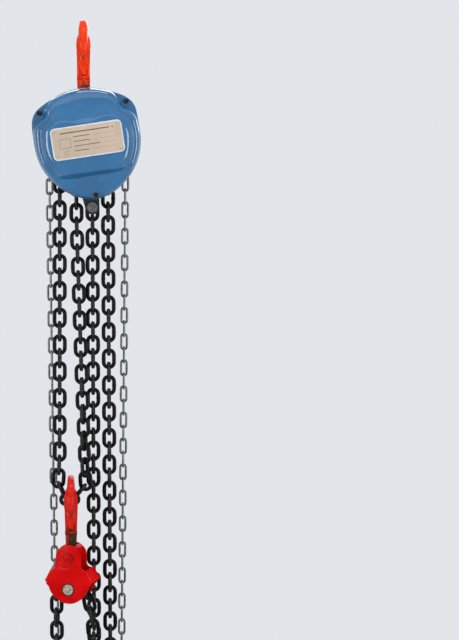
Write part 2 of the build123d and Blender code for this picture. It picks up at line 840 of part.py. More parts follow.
def make_hand_wheel(phase):
    """Pocketed hand chain wheel with web and hub."""
    rim = ring(0, 0, HAND_Y - 11.0, HAND_Y + 11.0, 73.0, 52.5)
    web = rod(0, 0, HAND_Y - 2.5, HAND_Y + 3.5, 54.0)
    hub = rod(0, 0, 48.1, 62.0, 18.0)
    wheel = rim + web + hub
    slot = HAND_WIRE / 2 + 0.7
    wheel = wheel - ring(0, 0, HAND_Y - slot, HAND_Y + slot, 90.0, HAND_STAND_R - HAND_OUTER_W / 2 - 0.6)
    for k in range(HAND_POCKETS):
        angle = phase + k * 360.0 / HAND_POCKETS
        floor = HAND_LINK_R - HAND_WIRE / 2 - 0.2
        pocket = Pos(floor + 10.0, HAND_Y, 0) * Box(20.0, HAND_OUTER_W + 1.2, 34.6)
        mouth = Pos(floor + 14.0, HAND_Y, 0) * Box(20.0, HAND_OUTER_W + 1.2, 42.0)
        wheel = wheel - Rot(0, -angle, 0) * (pocket + mouth)
    for k in range(6):
        a = math.radians(60 * k + 20)
        wheel = wheel - rod(36 * math.cos(a), 36 * math.sin(a), 30, 70, 8.0)
    return wheel - rod(0, 0, 30, 70, 7.0)


def make_brake_hub():
    """Threaded brake hub: pressure flange and the sleeve for the discs."""
    hub = rod(0, 0, 31.6, 36.0, 32.0) + rod(0, 0, 36.0, 48.05, 18.0)
    return hub - rod(0, 0, 20, 60, 7.0)


def make_ratchet():
    """Ratchet disc with saw teeth."""
    pts = []
    for k in range(RATCHET_TEETH):
        a0 = 2 * math.pi * k / RATCHET_TEETH
        a1 = 2 * math.pi * (k + 0.86) / RATCHET_TEETH
        pts.append((RATCHET_R * math.cos(a0), 0, RATCHET_R * math.sin(a0)))
        root = RATCHET_R - RATCHET_TOOTH
        pts.append((root * math.cos(a1), 0, root * math.sin(a1)))
    disc = slab(Face(Wire(Polyline(*pts, close=True).edges())), 39.15, 44.85)
    return disc - rod(0, 0, 30, 60, 18.05)


def pawl_spot(angle):
    """Housing position of a pawl's pin."""
    a = math.radians(angle)
    return (PAWL_R * math.cos(a), PAWL_R * math.sin(a))


def make_pawl(angle):
    """Pawl whose nose drops behind a ratchet tooth."""
    pts = (
        (-3.9, 0, 0.0),
        (-3.2, 0, -12.0),
        (-10.2, 0, -16.0),
        (-8.6, 0, -18.6),
        (-0.4, 0, -17.2),
        (3.6, 0, -8.0),
        (3.9, 0, 0.0),
    )
    arm = slab(Face(Wire(Polyline(*pts, close=True).edges())), 39.4, 44.6)
    pawl = arm + rod(0, 0, 39.4, 44.6, 4.6)
    pawl = pawl - rod(0, 0, 30, 60, 2.55)
    x, z = pawl_spot(angle)
    return Pos(x, 0, z) * (Rot(0, -angle, 0) * pawl)


def make_pawl_pins():
    """Shouldered pins on the rear side plate."""
    pins = []
    for angle in PAWL_ANGLES:
        x, z = pawl_spot(angle)
        pin = rod(x, z, PLATE_OUT, 39.2, 4.6) + rod(x, z, 39.2, 46.0, 2.5)
        pins.append(pin + rod(x, z, 44.8, 46.2, 3.6))
    return group(pins)


def make_pawl_springs():
    """Small hairpin springs round the pawl pins, under the pawls."""
    springs = []
    for angle in PAWL_ANGLES:
        x, z = pawl_spot(angle)
        coil = ring(x, z, 35.4, 38.6, 6.1, 4.9)
        a = math.radians(angle - 90)
        leg = Pos(x + 9.8 * math.cos(a), 37.0, z + 9.8 * math.sin(a))
        leg = leg * (Rot(0, -(angle - 90), 0) * Box(9.0, 1.2, 1.2))
        springs.append(coil + leg)
    return group(springs)


# ---------------------------------------------------------------- block
def make_cheek_face():
    """Outline of a block cheek round the axle at the origin."""
    top = BLOCK_PIN_TO_AXLE
    lobe = 23.6
    left = [
        (-lobe, 0, top),
        (-25.0, 0, 38.0),
        (-32.8, 0, 36.0),
        (-44.6, 0, 14.2),
        (-43.0, 0, 10.0),
        (-37.5, 0, 4.5),
    ]
    right = [(-x, y, z) for x, y, z in reversed(left)]
    cap = Edge.make_three_point_arc((lobe, 0, top), (0, 0, top + lobe + 0.4), (-lobe, 0, top))
    sides_l = Polyline(*left)
    sides_r = Polyline(*right)
    half_belly = [
        Vector(-37.5, 0, 4.5),
        Vector(-33.6, 0, -5.0),
        Vector(-24.5, 0, -16.0),
        Vector(-12.0, 0, -23.6),
    ]
    other_half = [Vector(-v.X, 0, v.Z) for v in reversed(half_belly)]
    belly = Edge.make_spline(half_belly + [Vector(0, 0, -25.8)] + other_half)
    edges = [cap] + list(sides_l.edges()) + [belly] + list(sides_r.edges())
    return Face(Wire(edges))


def make_cheek(front):
    """Pressed cheek; the front one carries the two slanted guard flanges."""
    y0 = -CHEEK_OUT if front else CHEEK_IN
    y1 = -CHEEK_IN if front else CHEEK_OUT
    cheek = slab(make_cheek_face(), y0, y1)
    if front:
        for side in (-1, 1):
            pts = (
                (side * 32.8, 0, 36.0),
                (side * 44.6, 0, 14.2),
                (side * 42.0, 0, 12.8),
                (side * 30.2, 0, 34.6),
            )
            guard = slab(Face(Wire(Polyline(*pts, close=True).edges())), -CHEEK_IN - 0.5, CHEEK_IN)
            cheek = cheek + guard
    cheek = cheek - rod(0, 0, -40, 40, 8.0)
    return cheek - rod(0, BLOCK_PIN_TO_AXLE, -40, 40, SUSPENSION_R)


def make_block_sheave():
    """Idle sheave with a groove for the standing links."""
    sheave = rod(0, 0, -13.9, 13.9, BLOCK_LINK_R - LOAD_WIRE / 2 - 0.5)
    sheave = sheave - ring(0, 0, -5.4, 5.4, 60.0, BLOCK_STAND_R - LOAD_OUTER_W / 2 - 0.7)
    return sheave - rod(0, 0, -40, 40, 8.05)


def make_pin_with_head(x, z, r, y0, y1, head_r, head_h, nut_h):
    """Pin along Y with a round head in front and a flat washer behind."""
    pin = rod(x, z, y0, y1, r) + rod(x, z, y0 - head_h, y0, head_r)
    if nut_h > 0:
        pin = pin + rod(x, z, y1, y1 + nut_h, head_r)
    return pin


# ---------------------------------------------------------------- chain runs


def load_chain_path():
    """Whole load chain from the tail pin to the dead-end pin."""
    hang = LOAD_PITCH / 2 - TAIL_PIN_R - 0.1
    short = short_reach(LOAD_PITCH, LOAD_WIRE, LOAD_OUTER_W)
    long = long_reach(LOAD_PITCH, LOAD_WIRE, LOAD_OUTER_W)
    path = Path((TAIL_X, 0, TAIL_TOP_Z - hang + short), FACE_Y)
    path.line((-46.5, -21.5, -725.0))
    path.line((-49.3, BLOCK_Y + 0.5, -761.5))
    path.line((LOWER_LINK_X - short, BLOCK_Y, LOWER_LINK_Z))
    path.line((LOWER_LINK_X + short, BLOCK_Y, LOWER_LINK_Z))
    twist = math.radians(32.0)
    turned = (math.sin(twist), math.cos(twist), 0.0)
    path.line((-0.5, BLOCK_Y, -766.0), (math.sin(twist / 5), math.cos(twist / 5), 0.0))
    path.line((-1.8, -22.5, -742.0), turned)
    path.line((-7.0, -14.0, -560.0), FACE_Y)
    path.line((-14.0, 0, -300.0))
    guide_x = 28.5
    guide_z = -56.0
    path.line(from_housing(-guide_x, 0, guide_z))
    lean = 1.75
    ax = (ROLL_C * SHEAVE_JOINT_R, 0, ROLL_S * SHEAVE_JOINT_R)
    bx = (-ROLL_S * SHEAVE_JOINT_R, 0, ROLL_C * SHEAVE_JOINT_R)
    path.arc((AXIS_X, 0, AXIS_Z), ax, bx, 180.0 + lean, -lean)
    path.line(from_housing(guide_x, 0, guide_z))
    path.line((LIVE_X, 0, -260.0))
    path.line((LIVE_X, 0, LIVE_LOOP_Z))
    rise = from_block(-BLOCK_JOINT_R, 0, 0)
    half_x = (LIVE_X - rise[0]) / 2
    half_y = -rise[1] / 2
    centre = (LIVE_X - half_x, -half_y, LIVE_LOOP_Z)
    path.arc(centre, (half_x, half_y, 0), (0, 0, half_x * 1.1), 0.0, -180.0)
    across = (-YAW_S, YAW_C, 0.0)
    path.line(rise, across)
    bx = (0, 0, BLOCK_JOINT_R)
    ax = (YAW_C * BLOCK_JOINT_R, YAW_S * BLOCK_JOINT_R, 0)
    path.arc(from_block(0, 0, 0), ax, bx, 180.0, 0.0)
    path.line((3.5, -32.0, -972.0))
    path.turn_quarter((YAW_C, YAW_S, 0.0))
    path.line((11.8, -30.2, -1020.0), (1.0, 0.0, 0.0))
    path.line((12.8, -29.0, DEAD_LOOP_Z))
    path.arc((12.8, -14.5, DEAD_LOOP_Z), (0, 14.5, 0), (0, 0, 14.5), 180.0, 360.0)
    path.line((DEAD_END_X, 0, -300.0))
    path.line((DEAD_END_X, 0, DEAD_END_Z - hang + long))
    path.finish()
    return path


def hand_chain_path():
    """Endless hand chain, starting at the wheel's left side."""
    r = HAND_JOINT_R
    path = Path((AXIS_X - r, HAND_Y, AXIS_Z), FACE_Y)
    path.arc((AXIS_X, HAND_Y, AXIS_Z), (r, 0, 0), (0, 0, r), 180.0, 0.0, 180)
    path.line((HAND_RIGHT_X, HAND_Y, HAND_LOOP_Z), None, 80)
    centre = ((HAND_LEFT_X + HAND_RIGHT_X) / 2, HAND_Y, HAND_LOOP_Z)
    half = (HAND_RIGHT_X - HAND_LEFT_X) / 2
    path.arc(centre, (half, 0, 0), (0, 0, HAND_LOOP_DEPTH), 0.0, -180.0, 90)
    path.line((AXIS_X - r, HAND_Y, AXIS_Z), None, 80)
    path.finish()
    return path


def split_load_chain(frames):
    """Load chain links by run: tail loop, load sheave, live fall, block, dead end."""
    runs = {"tail": [], "sheave": [], "live": [], "block": [], "dead": []}
    stage = "tail"
    for c, u, n in frames:
        if stage == "tail" and c[2] > AXIS_Z - 6.0 and u[2] > 0:
            stage = "sheave"
        if stage == "sheave" and u[2] < 0 and c[2] < AXIS_Z - 6.0:
            stage = "live"
        if stage == "live" and u[2] > 0 and c[2] > AXLE_Z - 6.0 and c[0] < BLOCK_X:
            stage = "block"
        if stage == "block" and u[2] < 0 and c[2] < AXLE_Z - 6.0:
            stage = "dead"
        runs[stage].append((c, u, n))
    return runs


def phase_of(frames, centre, ax, bx, want_standing):
    """Angle of the first link round a wheel whose face looks the given way."""
    for c, u, n in frames:
        standing = abs(n[1]) > 0.7
        if standing == want_standing:
            d = v_sub(c, centre)
            return math.degrees(math.atan2(v_dot(d, bx), v_dot(d, ax)))
    return 0.0


def main():
    os.makedirs("parts", exist_ok=True)
    parts = {}

    load_path = load_chain_path()
    frames, _ = links_on(load_path, LOAD_PITCH, LOAD_WIRE, LOAD_OUTER_W)
    runs = split_load_chain(frames)
    link = make_link(LOAD_PITCH, LOAD_WIRE, LOAD_OUTER_W)
    parts["load_chain_tail_loop"] = place_links(link, runs["tail"])
    parts["load_chain_on_sheave"] = place_links(link, runs["sheave"])
    parts["load_chain_live_fall"] = place_links(link, runs["live"])
    parts["load_chain_on_block"] = place_links(link, runs["block"])
    parts["load_chain_dead_end_fall"] = place_links(link, runs["dead"])
    ax = (ROLL_C, 0, ROLL_S)
    bx = (-ROLL_S, 0, ROLL_C)
    top_links = [f for f in runs["sheave"] if f[0][2] > AXIS_Z + 10]
    sheave_phase = phase_of(top_links, (AXIS_X, 0, AXIS_Z), ax, bx, False)

    hand_path = hand_chain_path()
    h_frames, _ = links_on(hand_path, HAND_PITCH, HAND_WIRE, HAND_OUTER_W)
    on_wheel = [f for f in h_frames if f[0][2] > AXIS_Z - 4.0]
    off_wheel = [f for f in h_frames if f[0][2] <= AXIS_Z - 4.0]
    hand_link = make_link(HAND_PITCH, HAND_WIRE, HAND_OUTER_W)
    parts["hand_chain_on_wheel"] = place_links(hand_link, on_wheel)
    parts["hand_chain_loop"] = place_links(hand_link, off_wheel)
    hand_top = [f for f in on_wheel if f[0][2] > AXIS_Z + 30]
    hand_phase = phase_of(hand_top, (AXIS_X, HAND_Y, AXIS_Z), ax, bx, False)

    hook = make_hook()
    latch = make_latch()
    latch_pin = make_latch_pin()
    spring = make_latch_spring()
    parts["top_hook"] = hook
    parts["top_latch"] = latch
    parts["top_latch_pin"] = latch_pin
    parts["top_latch_spring"] = spring
    parts["top_yoke_left"] = make_yoke(-1, YOKE_HALF_X, 22.0)
    parts["top_yoke_right"] = make_yoke(1, YOKE_HALF_X, 22.0)
    pin = rod(0, -PIN_DROP, -34.0, 34.0, SUSPENSION_R)
    parts["suspension_pin"] = pin - rod(0, -PIN_DROP, 31.5, 40, 2.0)

    housed = {}
    housed["front_side_plate"] = make_side_plate(-PLATE_OUT, -PLATE_IN)
    housed["rear_side_plate"] = make_side_plate(PLATE_IN, PLATE_OUT)
    stays = stay_points()
    tubes = [ring(x, z, -PLATE_IN, PLATE_IN, STAY_TUBE_R, STAY_HOLE_R) for x, z in stays]
    housed["stay_tubes"] = group(tubes)
    bolts = []
    for k, (x, z) in enumerate(stays):
        seat = -PLATE_OUT - COVER_WALL if k < 2 else -COVER_STEP_FACE
        bolts.append(rod(x, z, seat, 42.0, STAY_BOLT_R) + hexagon(x, z, seat - 5.5, seat, STAY_HEAD_AF))
    housed["stay_bolts"] = group(bolts)
    nuts = []
    for x, z in stays:
        nut = hexagon(x, z, PLATE_OUT + COVER_WALL, PLATE_OUT + COVER_WALL + 6.5, STAY_NUT_AF)
        nuts.append(nut - rod(x, z, 0, 60, STAY_BOLT_R))
    housed["stay_nuts"] = group(nuts)
    housed["front_cover"] = make_front_cover()
    housed["rear_cover"] = make_rear_cover()
    plate = RectangleRounded(PLATE_W, PLATE_H, PLATE_CORNER)
    plate = Plane.XZ * Pos(0, PLATE_MID_Z) * plate
    housed["rating_plate"] = slab(plate.face(), -COVER_FACE - PLATE_T, -COVER_FACE)
    rivets = []
    for sx in (-1, 1):
        for sz in (-1, 1):
            x = sx * (PLATE_W / 2 - RIVET_INSET)
            z = PLATE_MID_Z + sz * (PLATE_H / 2 - RIVET_INSET)
            dome = Pos(x, -COVER_FACE - PLATE_T, z) * Sphere(RIVET_R)
            dome = dome & rod(x, z, -COVER_FACE - 3, -COVER_FACE - PLATE_T, RIVET_R + 1)
            rivets.append(dome)
    housed["rating_plate_rivets"] = group(rivets)
    housed["chain_stripper"] = make_stripper()
    for name, (x, z) in zip(("left", "right"), ROLLERS):
        housed["guide_roller_" + name] = ring(x, z, -24.6, 24.6, ROLLER_R, ROLLER_PIN_R + 0.05)
    housed["guide_roller_pins"] = group([rod(x, z, -30.5, 30.5, ROLLER_PIN_R) for x, z in ROLLERS])
    dx, dz = DEAD_END
    dead = rod(dx, dz, -31.0, 33.0, 5.0) - rod(dx, dz, -4.8, 4.8, 6.0) + rod(dx, dz, -5.5, 5.5, 4.0)
    housed["dead_end_pin"] = dead + rod(dx, dz, -33.5, -30.0, 9.0) - rod(dx, dz, -36, -32.3, 5.5)
    spacers = []
    for side in (-1, 1):
        y0 = 5.0 if side > 0 else -PLATE_IN
        y1 = PLATE_IN if side > 0 else -5.0
        spacers.append(ring(dx, dz, y0, y1, 8.0, 5.0))
        spacers.append(ring(TAIL[0], TAIL[1], y0, y1, 7.0, TAIL_PIN_R))
    housed["chain_pin_spacers"] = group(spacers)
    housed["tail_pin"] = rod(TAIL[0], TAIL[1], -PLATE_OUT, PLATE_OUT, TAIL_PIN_R)

    housed["load_sheave"] = make_load_sheave(sheave_phase)
    races = []
    for side in (-1, 1):
        y0 = min(side * 24.6, side * 30.4)
        y1 = max(side * 24.6, side * 30.4)
        races.append(ring(0, 0, y0, y1, 24.0, 16.05))
    housed["sheave_bearings"] = group(races)
    housed["load_gear"] = gear(Z_LOAD, 0.0, 0.0, -43.5, -33.5) - rod(0, 0, -60, 0, 12.0)
    housed["drive_shaft"] = make_drive_shaft()
    housed["disc_gear_left"] = make_disc_gear(-1)
    housed["disc_gear_right"] = make_disc_gear(1)
    housed["gear_carrier"] = make_carrier()
    housed["carrier_posts"] = make_carrier_posts()
    housed["brake_hub"] = make_brake_hub()
    pads = [ring(0, 0, 36.0, 39.1, 30.0, 18.0), ring(0, 0, 44.9, 48.05, 30.0, 18.0)]
    housed["friction_discs"] = group(pads)
    housed["ratchet_disc"] = make_ratchet()
    housed["hand_wheel"] = make_hand_wheel(hand_phase)
    nut = hexagon(0, 0, 62.0, 68.0, 19.0) - rod(0, 0, 50, 80, 6.0)
    housed["hand_wheel_nut"] = nut
    housed["pawl_left"] = make_pawl(PAWL_ANGLES[0])
    housed["pawl_right"] = make_pawl(PAWL_ANGLES[1])
    housed["pawl_pins"] = make_pawl_pins()
    housed["pawl_springs"] = make_pawl_springs()
    for name, shape in housed.items():
        parts[name] = HOUSING * shape

    parts["bottom_hook"] = LOWER_HOOK * hook
    parts["bottom_latch"] = LOWER_HOOK * latch
    parts["bottom_latch_pin"] = LOWER_HOOK * latch_pin
    parts["bottom_latch_spring"] = LOWER_HOOK * spring
    lower = {}
    lift = Pos(0, 0, PIN_DROP + BLOCK_PIN_TO_AXLE)
    lower["block_yoke_left"] = lift * make_yoke(-1, BLOCK_YOKE_HALF_X, 14.0)
    lower["block_yoke_right"] = lift * make_yoke(1, BLOCK_YOKE_HALF_X, 14.0)
    lower["front_cheek"] = make_cheek(True)
    lower["rear_cheek"] = make_cheek(False)
    lower["block_pin"] = make_pin_with_head(0, BLOCK_PIN_TO_AXLE, SUSPENSION_R, -18.0, 18.0, 10.0, 2.6, 2.6)
    axle = make_pin_with_head(0, 0, 8.0, -18.0, 18.0, 9.8, 3.6, 0.0)
    lower["block_axle"] = axle + rod(0, 0, 18.0, 24.0, 7.0)
    lower["block_axle_nut"] = hexagon(0, 0, 18.0, 24.0, 19.0) - rod(0, 0, 10, 30, 7.0)
    lower["block_sheave"] = make_block_sheave()
    for name, shape in lower.items():
        parts[name] = BLOCK * shape

    for name, shape in parts.items():
        export_step(shape, "parts/" + name + ".step")
    print(len(parts), "nodes")


main()
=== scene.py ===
"""Hand chain hoist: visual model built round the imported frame."""
import json
import math

import bmesh
import bpy
import numpy as np
from bpy.props import FloatProperty, FloatVectorProperty, IntProperty, PointerProperty
from mathutils import Matrix, Vector

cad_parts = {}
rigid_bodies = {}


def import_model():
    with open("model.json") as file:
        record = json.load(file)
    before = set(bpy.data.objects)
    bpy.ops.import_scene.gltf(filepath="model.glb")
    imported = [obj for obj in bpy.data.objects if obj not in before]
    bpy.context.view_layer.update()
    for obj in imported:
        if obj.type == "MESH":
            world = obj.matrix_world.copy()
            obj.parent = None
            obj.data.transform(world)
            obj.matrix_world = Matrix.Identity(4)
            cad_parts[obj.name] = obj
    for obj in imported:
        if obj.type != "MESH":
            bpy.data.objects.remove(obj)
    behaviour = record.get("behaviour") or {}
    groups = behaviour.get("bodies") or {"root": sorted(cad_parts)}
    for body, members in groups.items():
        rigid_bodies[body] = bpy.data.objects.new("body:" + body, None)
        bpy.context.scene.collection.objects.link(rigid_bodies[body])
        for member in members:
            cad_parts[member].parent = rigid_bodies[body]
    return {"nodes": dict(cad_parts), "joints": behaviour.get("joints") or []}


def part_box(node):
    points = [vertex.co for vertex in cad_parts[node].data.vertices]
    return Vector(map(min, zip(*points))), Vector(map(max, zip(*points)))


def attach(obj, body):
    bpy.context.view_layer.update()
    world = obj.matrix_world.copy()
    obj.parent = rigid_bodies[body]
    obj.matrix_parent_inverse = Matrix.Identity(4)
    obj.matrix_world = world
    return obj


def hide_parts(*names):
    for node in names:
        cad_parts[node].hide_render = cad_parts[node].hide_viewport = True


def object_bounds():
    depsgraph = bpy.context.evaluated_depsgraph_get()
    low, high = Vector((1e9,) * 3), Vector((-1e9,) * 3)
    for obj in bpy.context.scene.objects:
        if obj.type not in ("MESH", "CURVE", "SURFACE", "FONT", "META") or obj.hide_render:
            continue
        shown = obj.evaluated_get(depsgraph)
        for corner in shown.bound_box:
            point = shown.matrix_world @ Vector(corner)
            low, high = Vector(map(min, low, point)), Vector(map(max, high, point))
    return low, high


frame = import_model()
CAD_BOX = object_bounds()

bl_info = {
    "name": "Chain Hoist",
    "version": (1, 0, 0),
    "blender": (4, 5, 0),
    "location": "View3D > Sidebar > Hoist",
    "description": "Builds a hand chain hoist with a geared body, two chains and a hook block",
    "category": "Add Mesh",
}

MM = 0.001
JOINTS = {j["name"]: j for j in frame["joints"]}


# ---- places
def joint_place(name):
    """Where a joint's axis stands."""
    return Vector(JOINTS[name]["pos_m"])


def frame_at(origin, x_dir, y_dir, z_dir):
    """Matrix of a frame with these directions."""
    m = Matrix((x_dir, y_dir, z_dir)).transposed().to_4x4()
    m.translation = origin
    return m


def housing_matrix():
    """Frame of the rolled housing: X across the two disc gears, Y along the sheave axis."""
    x_dir = (joint_place("disc_gear_right_spin") - joint_place("disc_gear_left_spin")).normalized()
    y_dir = Vector((0, 1, 0))
    return frame_at(joint_place("load_sheave_spin"), x_dir, y_dir, x_dir.cross(y_dir))


def block_matrix():
    """Frame of the turned lower block round its axle."""
    y_dir = Vector(JOINTS["block_sheave_spin"]["axis"]).normalized()
    z_dir = Vector((0, 0, 1))
    return frame_at(joint_place("block_sheave_spin"), y_dir.cross(z_dir), y_dir, z_dir)


HOUSING = housing_matrix()
BLOCK = block_matrix()


# ---- settings
def paint(name, description, default):
    """Setting for one colour."""
    return FloatVectorProperty(
        name=name, description=description, subtype="COLOR", size=3, min=0, max=1, default=default
    )


def length(name, description, mm, least_mm):
    """Setting for one length."""
    return FloatProperty(
        name=name, description=description, subtype="DISTANCE", unit="LENGTH",
        default=mm * MM, min=least_mm * MM,
    )


class HoistColours(bpy.types.PropertyGroup):
    """Paints and metals."""

    cover_blue: paint("Cover blue", "Paint of the two covers", (0.014, 0.134, 0.318))
    hook_orange: paint("Hook orange", "Paint of the top hook", (0.98, 0.046, 0.004))
    lower_orange: paint("Lower hook orange", "Redder paint of the lower hook", (0.64, 0.010, 0.004))
    block_red: paint("Block red", "Paint of the lower block", (0.62, 0.0015, 0.002))
    chain_black: paint("Chain black", "Oxide finish of the load chain", (0.003, 0.003, 0.0035))
    plate_tan: paint("Plate tan", "Field of the rating plate", (0.57, 0.463, 0.363))


class HoistSizes(bpy.types.PropertyGroup):
    """Sizes of the visible detail."""

    load_wire: length("Load chain wire", "Wire diameter of the load chain", 7.1, 1)
    load_width: length("Load link width", "Outer width of a load link", 25.4, 5)
    load_pitch: length("Load chain pitch", "Inner length of a load link", 24.0, 5)
    hand_wire: length("Hand chain wire", "Wire diameter of the hand chain", 4.0, 1)
    hand_width: length("Hand link width", "Outer width of a hand link", 14.0, 4)
    hand_pitch: length("Hand chain pitch", "Inner length of a hand link", 24.0, 5)
    bowl_radius: length("Hook bowl radius", "Inner radius of both hooks", 24.0, 5)
    plate_width: length("Rating plate width", "Width of the rating plate", 125.0, 10)
    plate_height: length("Rating plate height", "Height of the rating plate", 56.0, 10)
    link_sides: IntProperty(
        name="Link sides", description="Facets round a link's wire", default=14, min=6
    )
    cover_slices: IntProperty(
        name="Cover slices", description="Facets round the front cover", default=288, min=48
    )


# ---- meshes
def in_scene(data):
    """New object of the same name that shows these data."""
    obj = bpy.data.objects.new(data.name, data)
    bpy.context.scene.collection.objects.link(obj)
    return obj


def new_piece(name, verts, faces, matrix=None):
    """Mesh object from points in millimetres, optionally placed by a matrix."""
    mesh = bpy.data.meshes.new(name)
    pts = [Vector(v) * MM for v in verts]
    if matrix is not None:
        pts = [matrix @ p for p in pts]
    mesh.from_pydata([tuple(p) for p in pts], [], faces)
    mesh.validate()
    bm = bmesh.new()
    bm.from_mesh(mesh)
    bmesh.ops.recalc_face_normals(bm, faces=bm.faces)
    bm.to_mesh(mesh)
    bm.free()
    return in_scene(mesh)


def shade(obj, angle):
    """Smooth faces that meet at less than the angle, in degrees."""
    mesh = obj.data
    for p in mesh.polygons:
        p.use_smooth = True
    mesh.set_sharp_from_angle(angle=math.radians(angle))
    return obj


def ring_faces(rings, count, first=0):
    """Quads between rings of the same count laid one after another."""
    faces = []
    for i in range(rings - 1):
        faces += band(first + i * count, first + (i + 1) * count, count)
    return faces


def band(a, b, count):
    """Quads between the ring that starts at a and the ring that starts at b."""
    return [(a + j, a + (j + 1) % count, b + (j + 1) % count, b + j) for j in range(count)]


def fan(tip, first, count, back=False):
    """Triangles from a tip to a ring, in the ring's order or against it."""
    pairs = [(first + j, first + (j + 1) % count) for j in range(count)]
    return [(tip, b, a) if back else (tip, a, b) for a, b in pairs]


def looped_faces(count, sides):
    """Quads of a tube that closes on itself."""
    faces = []
    for i in range(count):
        here, there = i * sides, (i + 1) % count * sides
        faces += [
            (here + k, there + k, there + (k + 1) % sides, here + (k + 1) % sides)
            for k in range(sides)
        ]
    return faces


def flat(rings):
    """All the points of the rings, one ring after another."""
    return [p for ring in rings for p in ring]


def loft(rings):
    """Points and faces of a tube through rings, closed by flat ends."""
    count = len(rings[0])
    last = (len(rings) - 1) * count
    ends = [tuple(reversed(range(count))), tuple(last + j for j in range(count))]
    return flat(rings), ring_faces(len(rings), count) + ends


def arc(cx, cz, r, start, end, steps):
    """Points along an arc from one angle to another, in degrees."""
    turns = [math.radians(start + (end - start) * k / steps) for k in range(steps + 1)]
    return [(cx + r * math.cos(a), cz + r * math.sin(a)) for a in turns]


def circle(r, y, slices, x=0.0, z=0.0):
    """Ring of points round an axis along Y."""
    turns = [2 * math.pi * k / slices for k in range(slices)]
    return [(x + r * math.cos(a), y, z + r * math.sin(a)) for a in turns]


def lathe(profile, x=0.0, z=0.0, slices=64):
    """Rings of a turned piece along Y from its (radius, y) profile."""
    return [circle(r, y, slices, x, z) for r, y in profile]


def prism(near, far):
    """Slab between two outlines of the same count."""
    m = len(near)
    faces = [tuple(range(m)), tuple(reversed(range(m, 2 * m)))]
    faces += [(k, k + m, (k + 1) % m + m, (k + 1) % m) for k in range(m)]
    return near + far, faces


def merge(parts):
    """Join several (points, faces) into one."""
    verts = []
    faces = []
    for v, f in parts:
        base = len(verts)
        verts += list(v)
        faces += [tuple(i + base for i in face) for face in f]
    return verts, faces


def set_material(obj, material):
    """Give an object this material in place of its own."""
    obj.data.materials.clear()
    obj.data.materials.append(material)


